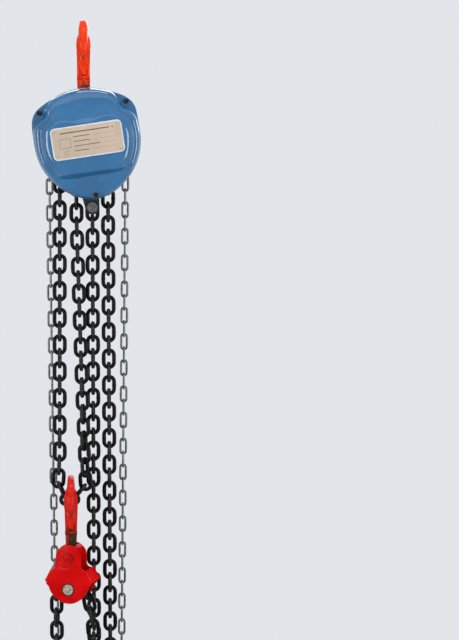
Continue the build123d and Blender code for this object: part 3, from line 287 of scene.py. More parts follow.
# ---- finishes
class Finish:
    """One procedural finish while its nodes are wired up."""

    def __init__(self, name, metallic=0.0):
        self.mat = bpy.data.materials.new(name)
        self.mat.use_nodes = True
        self.tree = self.mat.node_tree
        self.shader = self.tree.nodes["Principled BSDF"]
        self.shader.inputs["Metallic"].default_value = metallic
        self.place = self.add("ShaderNodeTexCoord").outputs["Object"]

    def add(self, kind, **props):
        """New node with these properties."""
        node = self.tree.nodes.new(kind)
        for key, value in props.items():
            setattr(node, key, value)
        return node

    def put(self, socket, source):
        """Feed a socket from a link, a number or a colour."""
        if hasattr(source, "is_output"):
            self.tree.links.new(source, socket)
        elif hasattr(source, "__len__") and len(source) == 3 and len(socket.default_value) == 4:
            socket.default_value = (*source, 1.0)
        else:
            socket.default_value = source

    def fill(self, node, **sockets):
        """Feed several sockets of a node."""
        for name, source in sockets.items():
            self.put(node.inputs[name], source)

    def gloss(self, specular, **coat):
        """Set the shader's specular level and its coat, on its own sockets."""
        levels = {"Coat " + name: value for name, value in coat.items()}
        self.fill(self.shader, **{"Specular IOR Level": specular}, **levels)

    def noise(self, size_mm, detail=4.0, rough=0.55, stretch=None):
        """Cloudy noise whose blobs are about this size."""
        node = self.add("ShaderNodeTexNoise")
        place = self.place
        if stretch is not None:
            mapping = self.add("ShaderNodeMapping")
            self.fill(mapping, Vector=place, Scale=stretch)
            place = mapping.outputs["Vector"]
        self.fill(node, Vector=place, Scale=1000.0 / size_mm, Detail=detail, Roughness=rough)
        return node.outputs["Fac"]

    def cells(self, size_mm):
        """Distance to the nearest of scattered points."""
        node = self.add("ShaderNodeTexVoronoi")
        self.fill(node, Vector=self.place, Scale=1000.0 / size_mm)
        return node.outputs["Distance"]

    def between(self, source, low, high, to_low=0.0, to_high=1.0):
        """Source from low to high, smoothly remapped."""
        node = self.add("ShaderNodeMapRange", interpolation_type="SMOOTHSTEP")
        limits = {"From Min": low, "From Max": high, "To Min": to_low, "To Max": to_high}
        self.fill(node, Value=source, **limits)
        return node.outputs["Result"]

    def maths(self, operation, a, b):
        """Two numbers combined."""
        node = self.add("ShaderNodeMath", operation=operation)
        for socket, source in zip(node.inputs, (a, b)):
            self.put(socket, source)
        return node.outputs[0]

    def times(self, a, b):
        """Two numbers multiplied."""
        return self.maths("MULTIPLY", a, b)

    def over(self, base, source, low, high, colour, to_low=0.0, to_high=1.0):
        """Base turning to a colour where the source goes from low to high."""
        return self.mix(self.between(source, low, high, to_low, to_high), base, colour)

    def mix(self, factor, a, b):
        """Colour a turning to b as the factor goes from 0 to 1."""
        node = self.add("ShaderNodeMix", data_type="RGBA")
        for index, source in ((0, factor), (6, a), (7, b)):
            self.put(node.inputs[index], source)
        return node.outputs[2]

    def rounded(self, radius_mm):
        """Normal softened across sharp edges."""
        node = self.add("ShaderNodeBevel", samples=4)
        self.fill(node, Radius=radius_mm * MM)
        return node.outputs["Normal"]

    def edge_mask(self, soft_normal):
        """1 along sharp edges, 0 on faces."""
        geometry = self.add("ShaderNodeNewGeometry")
        dot = self.add("ShaderNodeVectorMath", operation="DOT_PRODUCT")
        self.put(dot.inputs[0], soft_normal)
        self.put(dot.inputs[1], geometry.outputs["Normal"])
        apart = self.maths("SUBTRACT", 1.0, dot.outputs["Value"])
        return self.between(apart, 0.004, 0.06)

    def edge_wear(self, soft_normal, size_mm, detail, low, high, to_low=0.0, to_high=1.0):
        """Patchy wear along sharp edges."""
        patches = self.between(self.noise(size_mm, detail), low, high, to_low, to_high)
        return self.times(self.edge_mask(soft_normal), patches)

    def gloss_of(self, source, low, high):
        """Roughness from low to high that follows a source."""
        return self.between(source, 0.30, 0.75, low, high)

    def attribute(self, name):
        """A number stored on the mesh points."""
        node = self.add("ShaderNodeAttribute", attribute_name=name)
        return node.outputs["Fac"]

    def relief(self, height, depth_mm, normal=None):
        """Normal of small relief of this depth."""
        node = self.add("ShaderNodeBump")
        self.fill(node, Distance=depth_mm * MM, Height=height)
        if normal is not None:
            self.fill(node, Normal=normal)
        return node.outputs["Normal"]

    def finish(self, colour, roughness, normal=None):
        """Wire the results into the shader."""
        self.fill(self.shader, **{"Base Color": colour, "Roughness": roughness})
        if normal is not None:
            self.fill(self.shader, Normal=normal)
        return self.mat


def setting(name):
    """Colour from the hoist's settings."""
    return tuple(getattr(bpy.context.scene.hoist_colours, name))


def tone(colour, k, lift=0.0):
    """Colour made lighter or darker."""
    return tuple(min(1.0, max(0.0, c * k + lift)) for c in colour)


def cover_enamel():
    """Glossy blue enamel over pressed sheet."""
    blue = setting("cover_blue")
    f = Finish("Blue cover enamel")
    soft = f.rounded(0.9)
    cloud = f.noise(70, 2.0)
    mottle = f.noise(9, 5.0)
    base = f.over(tone(blue, 0.90), cloud, 0.35, 0.68, tone(blue, 1.08, 0.004))
    base = f.over(base, mottle, 0.56, 0.80, tone(blue, 1.25, 0.02), 0.0, 0.14)
    dust = f.between(f.noise(26, 8.0, 0.7), 0.55, 0.82, 0.0, 0.10)
    base = f.mix(dust, base, (0.42, 0.46, 0.50))
    speck = f.between(f.cells(7.5), 0.045, 0.065, 0.35, 0.0)
    base = f.mix(speck, base, (0.40, 0.43, 0.46))
    chips = f.edge_wear(soft, 2.4, 6.0, 0.56, 0.64)
    base = f.mix(chips, base, (0.05, 0.055, 0.065))
    rough = f.gloss_of(f.noise(18, 7.0), 0.15, 0.27)
    rough = f.maths("ADD", rough, f.times(chips, 0.3))
    peel = f.relief(f.noise(1.6, 2.0), 0.016, soft)
    wave = f.relief(f.noise(24, 1.0), 0.05, peel)
    f.gloss(0.05, Weight=0.8, IOR=1.65, Roughness=0.04)
    return f.finish(base, rough, wave)


def hook_paint(name, key):
    """Orange paint over forged, slightly scaly steel, with painted shade at the neck."""
    orange = setting(key)
    f = Finish(name)
    soft = f.rounded(0.8)
    cloud = f.noise(22, 3.0)
    mottle = f.noise(4.0, 6.0, 0.65)
    base = f.over(tone(orange, 0.80), cloud, 0.34, 0.68, tone(orange, 1.15, 0.01))
    base = f.over(base, mottle, 0.50, 0.78, tone(orange, 0.55), 0.0, 0.30)
    scuff = f.between(f.noise(6.0, 9.0, 0.75, (1.0, 1.0, 0.25)), 0.64, 0.72, 0.0, 0.7)
    base = f.mix(scuff, base, (0.17, 0.055, 0.028))
    # painted shade: the throat and the front of the neck turn dark olive below the latch
    soil = f.times(f.attribute("soil"), f.between(f.noise(3.0, 6.0, 0.7), 0.28, 0.50, 0.65, 1.0))
    painted_neck_shade = f.over((0.020, 0.017, 0.006), mottle, 0.4, 0.7, (0.07, 0.05, 0.018))
    base = f.mix(soil, base, painted_neck_shade)
    chips = f.edge_wear(soft, 2.0, 6.0, 0.52, 0.62)
    base = f.mix(chips, base, (0.055, 0.04, 0.035))
    rough = f.gloss_of(mottle, 0.24, 0.46)
    rough = f.maths("ADD", rough, f.times(scuff, 0.25))
    pits = f.relief(f.noise(2.2, 5.0, 0.6), 0.10, soft)
    lumps = f.relief(f.noise(9.0, 2.0), 0.32, pits)
    f.gloss(0.04, Weight=0.09, Roughness=0.10)
    return f.finish(base, rough, lumps)


def block_paint():
    """Bright red paint of the lower block's pressed cheeks."""
    red = setting("block_red")
    f = Finish("Red block paint")
    soft = f.rounded(0.8)
    cloud = f.noise(35, 3.0)
    base = f.over(tone(red, 0.88), cloud, 0.35, 0.68, tone(red, 1.10, 0.003))
    rub = f.between(f.noise(7.0, 9.0, 0.75), 0.62, 0.72, 0.0, 0.35)
    base = f.mix(rub, base, tone(red, 0.45))
    chips = f.edge_wear(soft, 2.2, 6.0, 0.53, 0.62)
    base = f.mix(chips, base, (0.06, 0.035, 0.032))
    rough = f.gloss_of(f.noise(12, 7.0), 0.24, 0.40)
    peel = f.relief(f.noise(1.8, 3.0), 0.03, soft)
    wave = f.relief(f.noise(16, 1.0), 0.10, peel)
    f.gloss(0.02, Weight=0.05, Roughness=0.12)
    return f.finish(base, rough, wave)


def chain_oxide():
    """Black oxide of the load chain, rubbed bright where links bear, brightened further into painted
    glints, with a painted highlight round each link's outer rim.
    """
    black = setting("chain_black")
    f = Finish("Load chain black oxide", metallic=0.15)
    f.gloss(0.065)
    wear = f.attribute("wear")
    mottle = f.noise(3.0, 6.0, 0.65)
    cloud = f.noise(40, 2.0)
    base = f.over(tone(black, 0.5), mottle, 0.35, 0.75, tone(black, 1.5, 0.002))
    base = f.over(base, cloud, 0.50, 0.80, (0.016, 0.012, 0.010), 0.0, 0.45)
    # bright bearing wear made strong enough to stand as painted glints, plus a painted highlight on the
    # outer rims
    rub = f.times(wear, f.between(f.noise(1.6, 5.0), 0.38, 0.62))
    base = f.mix(f.times(rub, 0.62), base, (0.28, 0.275, 0.27))
    rough = f.gloss_of(mottle, 0.15, 0.28)
    rough = f.maths("SUBTRACT", rough, f.times(rub, 0.08))
    scale = f.relief(f.noise(1.1, 4.0, 0.6), 0.035)
    dents = f.relief(f.noise(5.0, 2.0), 0.10, scale)
    return f.finish(base, rough, dents)


def hand_chain_zinc():
    """Dulled plating of the hand chain."""
    f = Finish("Hand chain dull zinc", metallic=0.85)
    wear = f.attribute("wear")
    mottle = f.noise(2.6, 6.0, 0.65)
    base = f.over((0.075, 0.082, 0.082), mottle, 0.35, 0.72, (0.16, 0.165, 0.165))
    base = f.over(base, f.noise(30, 2.0), 0.5, 0.8, (0.09, 0.085, 0.08), 0.0, 0.5)
    # same bright bearing wear and painted rim highlight as the load chain
    rub = f.times(wear, f.between(f.noise(1.4, 5.0), 0.35, 0.6))
    base = f.mix(rub, base, (0.42, 0.42, 0.41))
    rough = f.gloss_of(mottle, 0.28, 0.46)
    scale = f.relief(f.noise(0.9, 4.0), 0.02)
    return f.finish(base, rough, scale)


def plain_steel(name, dark, light, rough_low, rough_high, metallic):
    """Steel with mottling, fine grain and brighter rubbed edges."""
    f = Finish(name, metallic=metallic)
    f.gloss(0.25)
    soft = f.rounded(0.5)
    mottle = f.noise(2.5, 7.0, 0.65)
    cloud = f.noise(28, 3.0)
    base = f.over(dark, mottle, 0.32, 0.72, light)
    base = f.over(base, cloud, 0.48, 0.78, tone(dark, 0.75), 0.0, 0.4)
    rub = f.edge_wear(soft, 1.5, 5.0, 0.40, 0.62, 0.1, 0.9)
    base = f.mix(rub, base, tone(light, 1.6, 0.03))
    rough = f.gloss_of(mottle, rough_low, rough_high)
    grain = f.relief(f.noise(0.8, 4.0, 0.6), 0.03, soft)
    return f.finish(base, rough, grain)


def axle_steel():
    """Bare axle head with a warm oxide bloom."""
    f = Finish("Axle steel", metallic=0.15)
    soft = f.rounded(0.6)
    mottle = f.noise(4.2, 7.0, 0.7)
    base = f.over((0.17, 0.135, 0.10), mottle, 0.38, 0.62, (0.46, 0.39, 0.31))
    rust = f.between(f.noise(5.0, 8.0, 0.75), 0.52, 0.70, 0.0, 0.75)
    base = f.mix(rust, base, (0.16, 0.085, 0.04))
    rough = f.gloss_of(mottle, 0.34, 0.55)
    turned = f.relief(f.noise(0.9, 5.0), 0.05, soft)
    return f.finish(base, rough, turned)


def machined_steel():
    """Oiled machined steel of the gear train."""
    f = Finish("Oiled machined steel", metallic=1.0)
    soft = f.rounded(0.35)
    streak = f.noise(0.7, 4.0, 0.6, (1.0, 0.12, 1.0))
    mottle = f.noise(12, 5.0)
    base = f.over((0.30, 0.29, 0.27), mottle, 0.35, 0.70, (0.50, 0.49, 0.46))
    base = f.over(base, streak, 0.45, 0.75, (0.20, 0.19, 0.17), 0.0, 0.3)
    rough = f.gloss_of(mottle, 0.18, 0.34)
    return f.finish(base, rough, f.relief(streak, 0.02, soft))


def cast_iron():
    """Grainy cast iron of the sheaves and wheel."""
    f = Finish("Grey cast iron", metallic=0.55)
    soft = f.rounded(0.7)
    grain = f.noise(1.2, 6.0, 0.7)
    mottle = f.noise(10, 5.0)
    base = f.over((0.045, 0.044, 0.043), grain, 0.30, 0.72, (0.12, 0.118, 0.115))
    base = f.over(base, mottle, 0.5, 0.8, (0.07, 0.05, 0.036), 0.0, 0.5)
    rub = f.edge_wear(soft, 2.0, 5.0, 0.4, 0.6)
    base = f.mix(rub, base, (0.32, 0.31, 0.30))
    rough = f.gloss_of(grain, 0.42, 0.66)
    return f.finish(base, rough, f.relief(grain, 0.14, soft))


def brake_lining():
    """Pressed friction lining with fibres."""
    f = Finish("Brake lining")
    fibre = f.noise(0.8, 7.0, 0.75)
    base = f.over((0.075, 0.050, 0.030), fibre, 0.35, 0.70, (0.17, 0.12, 0.075))
    speck = f.between(f.cells(1.6), 0.12, 0.22, 1.0, 0.0)
    base = f.mix(speck, base, (0.33, 0.25, 0.14))
    return f.finish(base, f.between(fibre, 0.3, 0.7, 0.72, 0.92), f.relief(fibre, 0.08))


def plate_border():
    """Bright border of the rating plate."""
    f = Finish("Plate bright border", metallic=0.25)
    f.gloss(0.2)
    brushed = f.noise(0.8, 5.0, 0.6, (0.06, 1.0, 1.0))
    base = f.over((0.62, 0.64, 0.67), brushed, 0.3, 0.7, (0.78, 0.80, 0.82))
    return f.finish(base, f.between(brushed, 0.3, 0.7, 0.26, 0.40), f.relief(brushed, 0.01))


def plate_field():
    """Printed tan field of the rating plate."""
    tan = setting("plate_tan")
    f = Finish("Plate tan field")
    f.gloss(0.12)
    brushed = f.noise(0.9, 5.0, 0.6, (0.06, 1.0, 1.0))
    cloud = f.noise(30, 3.0)
    base = f.over(tone(tan, 0.94), cloud, 0.35, 0.68, tone(tan, 1.05))
    base = f.over(base, brushed, 0.4, 0.8, tone(tan, 0.82), 0.0, 0.25)
    return f.finish(base, f.between(brushed, 0.3, 0.7, 0.34, 0.48), f.relief(brushed, 0.012))


def plate_ink(name, colour):
    """Worn printing ink."""
    f = Finish(name)
    patch = f.noise(1.1, 5.0, 0.7)
    tan = setting("plate_tan")
    base = f.mix(f.between(patch, 0.50, 0.72, 0.0, 0.55), colour, tone(tan, 0.75))
    return f.finish(base, f.between(patch, 0.3, 0.7, 0.42, 0.6), f.relief(patch, 0.004))


# name, dark, light, lowest and highest roughness, metallic
STEELS = {
    "black": ("Blackened steel", (0.008, 0.008, 0.009), (0.024, 0.024, 0.026), 0.26, 0.44, 0.4),
    "zinc": ("Dull zinc plate", (0.34, 0.34, 0.33), (0.52, 0.51, 0.49), 0.26, 0.44, 1.0),
    "grime": ("Oil-grimed steel", (0.022, 0.020, 0.010), (0.060, 0.050, 0.024), 0.40, 0.62, 0.4),
    "pin": ("Weathered pin steel", (0.05, 0.05, 0.048), (0.19, 0.19, 0.18), 0.28, 0.46, 0.8),
    # dark red used only for the ring round the block pin's head, which is painted shade
    "painted_shade_red": ("Oiled red paint", (0.055, 0.001, 0.001), (0.12, 0.002, 0.002), 0.34, 0.52, 0.0),
}
FINISHES = {
    "cover": (cover_enamel,),
    "hook": (hook_paint, "Orange forging paint", "hook_orange"),
    "lower_hook": (hook_paint, "Lower hook paint", "lower_orange"),
    "block": (block_paint,),
    "load_chain": (chain_oxide,),
    "hand_chain": (hand_chain_zinc,),
    "axle": (axle_steel,),
    "gear": (machined_steel,),
    "iron": (cast_iron,),
    "lining": (brake_lining,),
    "border": (plate_border,),
    "field": (plate_field,),
    "dark_ink": (plate_ink, "Brown printing ink", (0.10, 0.055, 0.04)),
    "pale_ink": (plate_ink, "Faded printing ink", (0.36, 0.27, 0.22)),
    **{kind: (plain_steel, *details) for kind, details in STEELS.items()},
}
MADE = {}


def finish_for(kind):
    """The finish of this kind, made once."""
    if kind not in MADE:
        maker, *details = FINISHES[kind]
        MADE[kind] = maker(*details)
    return MADE[kind]


def dress(kind, *nodes):
    """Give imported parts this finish."""
    for name in nodes:
        set_material(frame["nodes"][name], finish_for(kind))


def body_of_node(node):
    """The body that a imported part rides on."""
    return frame["nodes"][node].parent.name.split(":")[-1]


def settle(obj, kind, node, stands_for=True):
    """Finish a new piece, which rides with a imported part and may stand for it."""
    set_material(obj, finish_for(kind))
    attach(obj, body_of_node(node))
    if stands_for:
        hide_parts(node)


# ---- chains
def solids_of(node):
    """Point sets of a node's separate solids, in metres."""
    mesh = frame["nodes"][node].data
    count = len(mesh.vertices)
    co = np.empty(count * 3)
    mesh.vertices.foreach_get("co", co)
    co = co.reshape(-1, 3)
    _, same = np.unique(np.round(co * 2.0e6).astype(np.int64), axis=0, return_inverse=True)
    same = same.reshape(-1)
    ends = np.empty(len(mesh.edges) * 2, dtype=np.int32)
    mesh.edges.foreach_get("vertices", ends)
    ends = same[ends.reshape(-1, 2)]
    label = np.arange(same.max() + 1)
    while True:
        low = np.minimum(label[ends[:, 0]], label[ends[:, 1]])
        new = label.copy()
        np.minimum.at(new, ends[:, 0], low)
        np.minimum.at(new, ends[:, 1], low)
        new = new[new]
        if np.array_equal(new, label):
            break
        label = new
    per_point = label[same]
    return [co[per_point == k] for k in np.unique(per_point)]


def link_places(node):
    """Centre and three axes (along, across, face) of each link in a chain run."""
    out = []
    for pts in solids_of(node):
        centre = pts.mean(axis=0)
        _, _, axes = np.linalg.svd(pts - centre, full_matrices=False)
        spans = (pts - centre) @ axes.T
        order = np.argsort(-(spans.max(axis=0) - spans.min(axis=0)))
        axes = axes[order]
        spans = spans[:, order]
        centre = centre + ((spans.max(axis=0) + spans.min(axis=0)) / 2) @ axes
        if np.dot(np.cross(axes[0], axes[1]), axes[2]) < 0:
            axes[2] = -axes[2]
        out.append((centre, axes))
    return out


TURN_STEPS = 11
LOAD_WELD = 1.07
HAND_WELD = 1.10


def one_link(pitch, wire, width, sides, weld):
    """Points, quads and bright wear with painted highlights of one link along X, in metres."""
    r = wire / 2
    bend = (width - wire) / 2
    half = (pitch + wire) / 2 - bend
    stations = []
    for side, swells in ((1, (1.0,) * 3), (-1, (1.0, 1.0, weld, weld, 1.0, 1.0))):
        for k in range(TURN_STEPS + 1):
            a = -side * math.pi / 2 + math.pi * k / TURN_STEPS
            nx, ny = math.cos(a), math.sin(a)
            stations.append((side * half + bend * nx, bend * ny, nx, ny, 1.0))
        for k, swell in enumerate(swells, 1):
            x = side * (half - 2 * half * k / (len(swells) + 1))
            stations.append((x, side * bend, 0.0, side, swell))
    verts = []
    wear = []
    for x, y, nx, ny, swell in stations:
        for k in range(sides):
            a = 2 * math.pi * k / sides
            out = r * swell * math.cos(a)
            up = r * swell * math.sin(a)
            verts.append((x + nx * out, y + ny * out, up))
            inner = max(0.0, -math.cos(a))
            at_end = max(0.0, (abs(x) - half) / bend)
            wear_and_glint_share = at_end ** 1.5 * inner ** 0.8
            # painted highlight: a bright band round the outside of every link
            wear_and_glint_share = max(wear_and_glint_share, 0.30 * max(0.0, math.cos(a)) ** 6)
            wear.append(min(1.0, wear_and_glint_share))
    return np.array(verts), np.array(looped_faces(len(stations), sides)), np.array(wear)


def chain_piece(node, points, quads, wear):
    """All the links of one run as one mesh."""
    rng = np.random.default_rng(len(node) * 17 + 5)
    all_points = []
    all_quads = []
    for index, (centre, axes) in enumerate(link_places(node)):
        flip = 1.0 if rng.random() < 0.5 else -1.0
        turn = np.array((axes[0], axes[1] * flip, axes[2] * flip))
        all_points.append(points @ turn + centre)
        all_quads.append(quads + index * len(points))
    mesh = bpy.data.meshes.new(node + "_links")
    mesh.from_pydata(np.concatenate(all_points).tolist(), [], np.concatenate(all_quads).tolist())
    layer = mesh.attributes.new("wear", "FLOAT", "POINT")
    layer.data.foreach_set("value", np.tile(wear, len(all_points)).astype(np.float32))
    mesh.shade_smooth()
    return in_scene(mesh)


LOAD_RUNS = (
    "load_chain_tail_loop",
    "load_chain_on_sheave",
    "load_chain_live_fall",
    "load_chain_on_block",
    "load_chain_dead_end_fall",
)
HAND_RUNS = ("hand_chain_on_wheel", "hand_chain_loop")


# ---- covers
# millimetres; depths are from the mid plane
PLATE_OUT = 30.0
WALL = 2.5
ROLL = 8.0
BODY_R = 92.3
FOOT_DROP = 14.0
CROWN_DIP = 3.4
EAR_RISE = 9.5
SEAM = 1.2
HOLLOW = 6.6
HOLLOW_LIP = 2.0
RING_RISE = 5.6
PAD_R = 9.5
# angle and distance from the axis of each stay bolt; the last one goes through the boss
STAYS = ((35.5, 95.0), (143.5, 95.0), (-90.0, 98.5))
EARS = (31.5, 148.5)
SHELF = 45.0
FACE = 64.8
STEP_TOP = -54.5
STEP_LOW = -65.5


def smooth(t):
    """Smooth step from 0 to 1."""
    t = min(1.0, max(0.0, t))
    return t * t * (3 - 2 * t)


def away(angle, at):
    """Angle past another, from -180 to 180."""
    return (angle - at + 180) % 360 - 180


def hump(angle, at, spread):
    """Smooth bump from 0 to 1 round an angle."""
    return math.exp(-((away(angle, at) / spread) ** 2))


def body_radius(angle):
    """Rounded outline of the body without its ears."""
    foot = FOOT_DROP * math.exp(-((abs(away(angle, -90.0)) / 43.0) ** 1.5))
    return BODY_R + foot - CROWN_DIP * hump(angle, 90.0, 28.0)


def flange_radius(angle):
    """Outline of the cover's flange."""
    return body_radius(angle) + sum(EAR_RISE * hump(angle, at, 17.0) for at in EARS)


def wall_radius(angle, inset):
    """Outline of the raised part this far in, hollowed beside the upper bolts."""
    r = body_radius(angle) - SEAM - inset
    keep = 1.0 - smooth(inset / 30.0)
    for at, _ in STAYS[:2]:
        d = abs(away(angle, at))
        r -= HOLLOW * keep * math.exp(-((d / 9.0) ** 2))
        r += HOLLOW_LIP * keep * math.exp(-((d - 18.0) / 7.5) ** 2)
    return r


def face_depth(angle, inset, z):
    """Depth of the pressed face, from the mid plane."""
    over_top = smooth((70.0 - abs(away(angle, 90.0))) / 52.0)
    start = 10.8 - 1.3 * over_top
    run = 14.0 + 35.5 * over_top
    side = min(1.0, max(0.0, (inset - start) / run))
    low = min(1.0, max(0.0, (z - STEP_LOW) / (STEP_TOP - STEP_LOW)))
    corner = max(0.0, 1.0 - math.hypot(1.0 - side, 1.0 - low))
    ring = RING_RISE * smooth(low)
    bulge = 1.0 - (1.0 - corner * smooth(corner / 0.22)) ** 2
    soft = smooth(corner)
    crisp = (1.0 - over_top) * smooth((z - STEP_TOP) / 14.0)
    raised = (FACE - SHELF - ring) * (soft + (bulge - soft) * crisp)
    return SHELF + ring + raised + 0.2 * smooth((inset - ROLL) / 30.0)


def front_cover_mesh(slices):
    """Points and faces of the pressed front cover, outside then inside."""
    outer = []
    inner = []
    roll = [90.0 * k / 9 for k in range(1, 10)]
    steps = [ROLL + 1.25 * k for k in range(1, 45)] + [66.0, 71.0, 76.0, 80.0, 83.5, 86.5]
    boss = STAYS[2][1]
    for k in range(slices):
        angle = 360.0 * k / slices
        a = math.radians(angle)
        ca, sa = math.cos(a), math.sin(a)

        def at(r, depth):
            return (r * ca, -depth, r * sa)

        edge = flange_radius(angle)
        foot = wall_radius(angle, 0.0)
        gap = edge - foot
        fillet = min(2.2, gap * 0.55)
        column = [
            at(edge, PLATE_OUT),
            at(edge, PLATE_OUT + 1.7),
            at(edge - 0.25 * min(1.0, gap), PLATE_OUT + 2.25),
            at(edge - 0.7 * min(1.0, gap), PLATE_OUT + WALL),
            at(foot + fillet, PLATE_OUT + WALL),
            at(foot + fillet * 0.30, PLATE_OUT + WALL + fillet * 0.28),
            at(foot, PLATE_OUT + WALL + fillet),
        ]
        low = PLATE_OUT + WALL + fillet
        for phi in roll:
            p = math.radians(phi)
            inset = ROLL * (1 - math.cos(p))
            r = wall_radius(angle, inset)
            top = face_depth(angle, ROLL, r * sa)
            depth = low + (top - low) * math.sin(p)
            near = math.hypot(r * ca, r * sa + boss)
            lift = smooth((PAD_R - near) / 3.0) * smooth((inset - 0.6) / 1.2)
            column.append(at(r, depth + (SHELF - depth) * lift if depth < SHELF else depth))
        for inset in steps:
            r = wall_radius(angle, inset)
            column.append(at(max(r, 1.0), face_depth(angle, inset, r * sa)))
        outer.append(column)
        inside = []
        for inset in [86.5, 76.0, 60.0, 52.0, 46.0, 40.0, 34.0, 28.0, 24.0, 20.0, 16.0, 11.0]:
            r = wall_radius(angle, inset)
            inside.append(at(max(r, 1.0), face_depth(angle, inset, r * sa) - WALL))
        for phi in (70.0, 50.0, 30.0, 0.0):
            p = math.radians(phi)
            inset = 2.6 + ROLL * (1 - math.cos(p))
            r = wall_radius(angle, inset)
            top = face_depth(angle, ROLL, r * sa) - WALL
            inside.append(at(r, PLATE_OUT + (top - PLATE_OUT) * math.sin(p)))
        inner.append(inside)
    rings = [list(ring) for ring in zip(*outer)]
    rings_in = [list(ring) for ring in zip(*inner)]
    deepest = face_depth(0.0, 88.0, 0.0)
    verts = flat(rings)
    faces = ring_faces(len(rings), slices)
    faces += fan(len(verts), (len(rings) - 1) * slices, slices)
    verts.append((0.0, -deepest, 0.0))
    base = len(verts)
    verts += flat(rings_in)
    faces += ring_faces(len(rings_in), slices, base)
    faces += fan(len(verts), base, slices, True)
    verts.append((0.0, -deepest + WALL, 0.0))
    faces += band(base + (len(rings_in) - 1) * slices, 0, slices)
    return verts, faces


# radius and depth along the drum, outside from the flange and inside from the middle
DRUM_OUT = (
    (85.0, 33.0), (85.0, 60.5), (84.5, 63.6), (82.9, 66.6), (80.4, 69.0), (77.2, 70.6), (73.6, 71.2),
    (66.5, 71.3), (65.0, 71.5), (63.6, 72.1), (62.2, 73.2), (60.6, 73.8), (58.5, 74.0),
    (24.0, 74.0), (22.4, 73.8), (21.0, 73.2), (19.6, 72.6), (18.0, 72.4),
)
DRUM_IN = ((18.0, 70.2), (58.5, 70.6), (72.5, 69.0), (79.6, 66.0), (82.5, 60.0), (82.5, 33.0))
# least and most x, y and z of what is cut away below for the chain
DRUM_MOUTH = (-110, 110, 32.9, 69.9, -138, -12)


def rear_cover_mesh(slices):
    """Points and faces of the drum-shaped wheel cover, closed all round."""
    verts = flat(lathe(DRUM_OUT + DRUM_IN, slices=slices))
    cut = len(DRUM_OUT)
    faces = ring_faces(cut, slices)
    faces += ring_faces(len(DRUM_IN), slices, cut * slices)
    tip_out = len(verts)
    verts += [(0.0, DRUM_OUT[-1][1], 0.0), (0.0, DRUM_IN[0][1], 0.0)]
    outward = fan(tip_out, (cut - 1) * slices, slices)
    inward = fan(tip_out + 1, cut * slices, slices, True)
    rim = band(tip_out - slices, 0, slices)
    for three in zip(outward, inward, rim):
        faces += three
    return verts, faces


def flange_mesh(slices, y0, y1):
    """Flat ring flange of the rear cover with eased edges."""
    rings = []
    outline = [(2 * math.pi * k / slices, flange_radius(360.0 * k / slices)) for k in range(slices)]
    for inset, y in ((0.0, y0), (0.0, y1 - 0.7), (0.25, y1 - 0.25), (0.8, y1)):
        rings.append([((r - inset) * math.cos(a), y, (r - inset) * math.sin(a)) for a, r in outline])
    rings += lathe(((82.6, y1), (82.6, y0)), slices=slices)
    last = (len(rings) - 1) * slices
    return flat(rings), ring_faces(len(rings), slices) + band(last, 0, slices)


def box_mesh(x0, x1, y0, y1, z0, z1):
    """Points and faces of a block."""
    verts = [(x, y, z) for x in (x0, x1) for y in (y0, y1) for z in (z0, z1)]
    faces = [(0, 1, 3, 2), (4, 6, 7, 5), (0, 4, 5, 1), (2, 3, 7, 6), (0, 2, 6, 4), (1, 5, 7, 3)]
    return verts, faces


def bake_modifiers(obj):
    """Replace an object's mesh by the result of its modifiers."""
    graph = bpy.context.evaluated_depsgraph_get()
    mesh = bpy.data.meshes.new_from_object(obj.evaluated_get(graph))
    obj.modifiers.clear()
    old = obj.data
    obj.data = mesh
    bpy.data.meshes.remove(old)


def cut_away(obj, *cutters):
    """Take the cutters' shapes out of an object."""
    for cutter in cutters:
        mod = obj.modifiers.new("opening", "BOOLEAN")
        mod.object = cutter
        mod.solver = "EXACT"
    bake_modifiers(obj)
    for cutter in cutters:
        mesh = cutter.data
        bpy.data.objects.remove(cutter)
        bpy.data.meshes.remove(mesh)


# ---- forgings
def spline_through(points, steps, closed):
    """Catmull-Rom curve through points of any size."""
    pts = np.array(points, dtype=float)
    count = len(pts)
    out = []
    spans = count if closed else count - 1
    for i in range(spans):
        if closed:
            p0, p1, p2, p3 = (pts[(i + k - 1) % count] for k in range(4))
        else:
            p0 = pts[max(i - 1, 0)]
            p1, p2 = pts[i], pts[i + 1]
            p3 = pts[min(i + 2, count - 1)]
        for k in range(steps):
            t = k / steps
            out.append(
                0.5 * (
                    2 * p1 + (p2 - p0) * t + (2 * p0 - 5 * p1 + 4 * p2 - p3) * t * t
                    + (3 * p1 - p0 - 3 * p2 + p3) * t ** 3
                )
            )
    if not closed:
        out.append(pts[-1])
    return out


# share of the depth and of the inner width, round half the flanged section
FLANGED = ((0.0, 0.45), (0.06, 0.93), (0.15, 1.0), (0.28, 0.68), (0.62, 0.56), (0.94, 0.43))
# angle round the bowl, depth, inner and outer width, and how round the section is
HOOK_STATIONS = (
    (-34.0, 5.0, 7.0, 3.5, 0.9),
    (-31.0, 9.5, 11.5, 5.0, 0.6),
    (-24.0, 13.6, 15.6, 6.4, 0.25),
    (-8.0, 19.0, 21.0, 9.5, 0.0),
    (15.0, 24.5, 24.6, 11.0, 0.0),
    (45.0, 28.4, 22.5, 11.2, 0.0),
    (75.0, 30.0, 17.0, 10.0, 0.0),
    (105.0, 30.2, 17.0, 10.2, 0.0),
    (140.0, 29.4, 21.5, 12.5, 0.0),
    (175.0, 28.0, 24.0, 14.0, 0.05),
)


COLLAR_R = 12.5
COLLAR = (-75.5, -82.0)


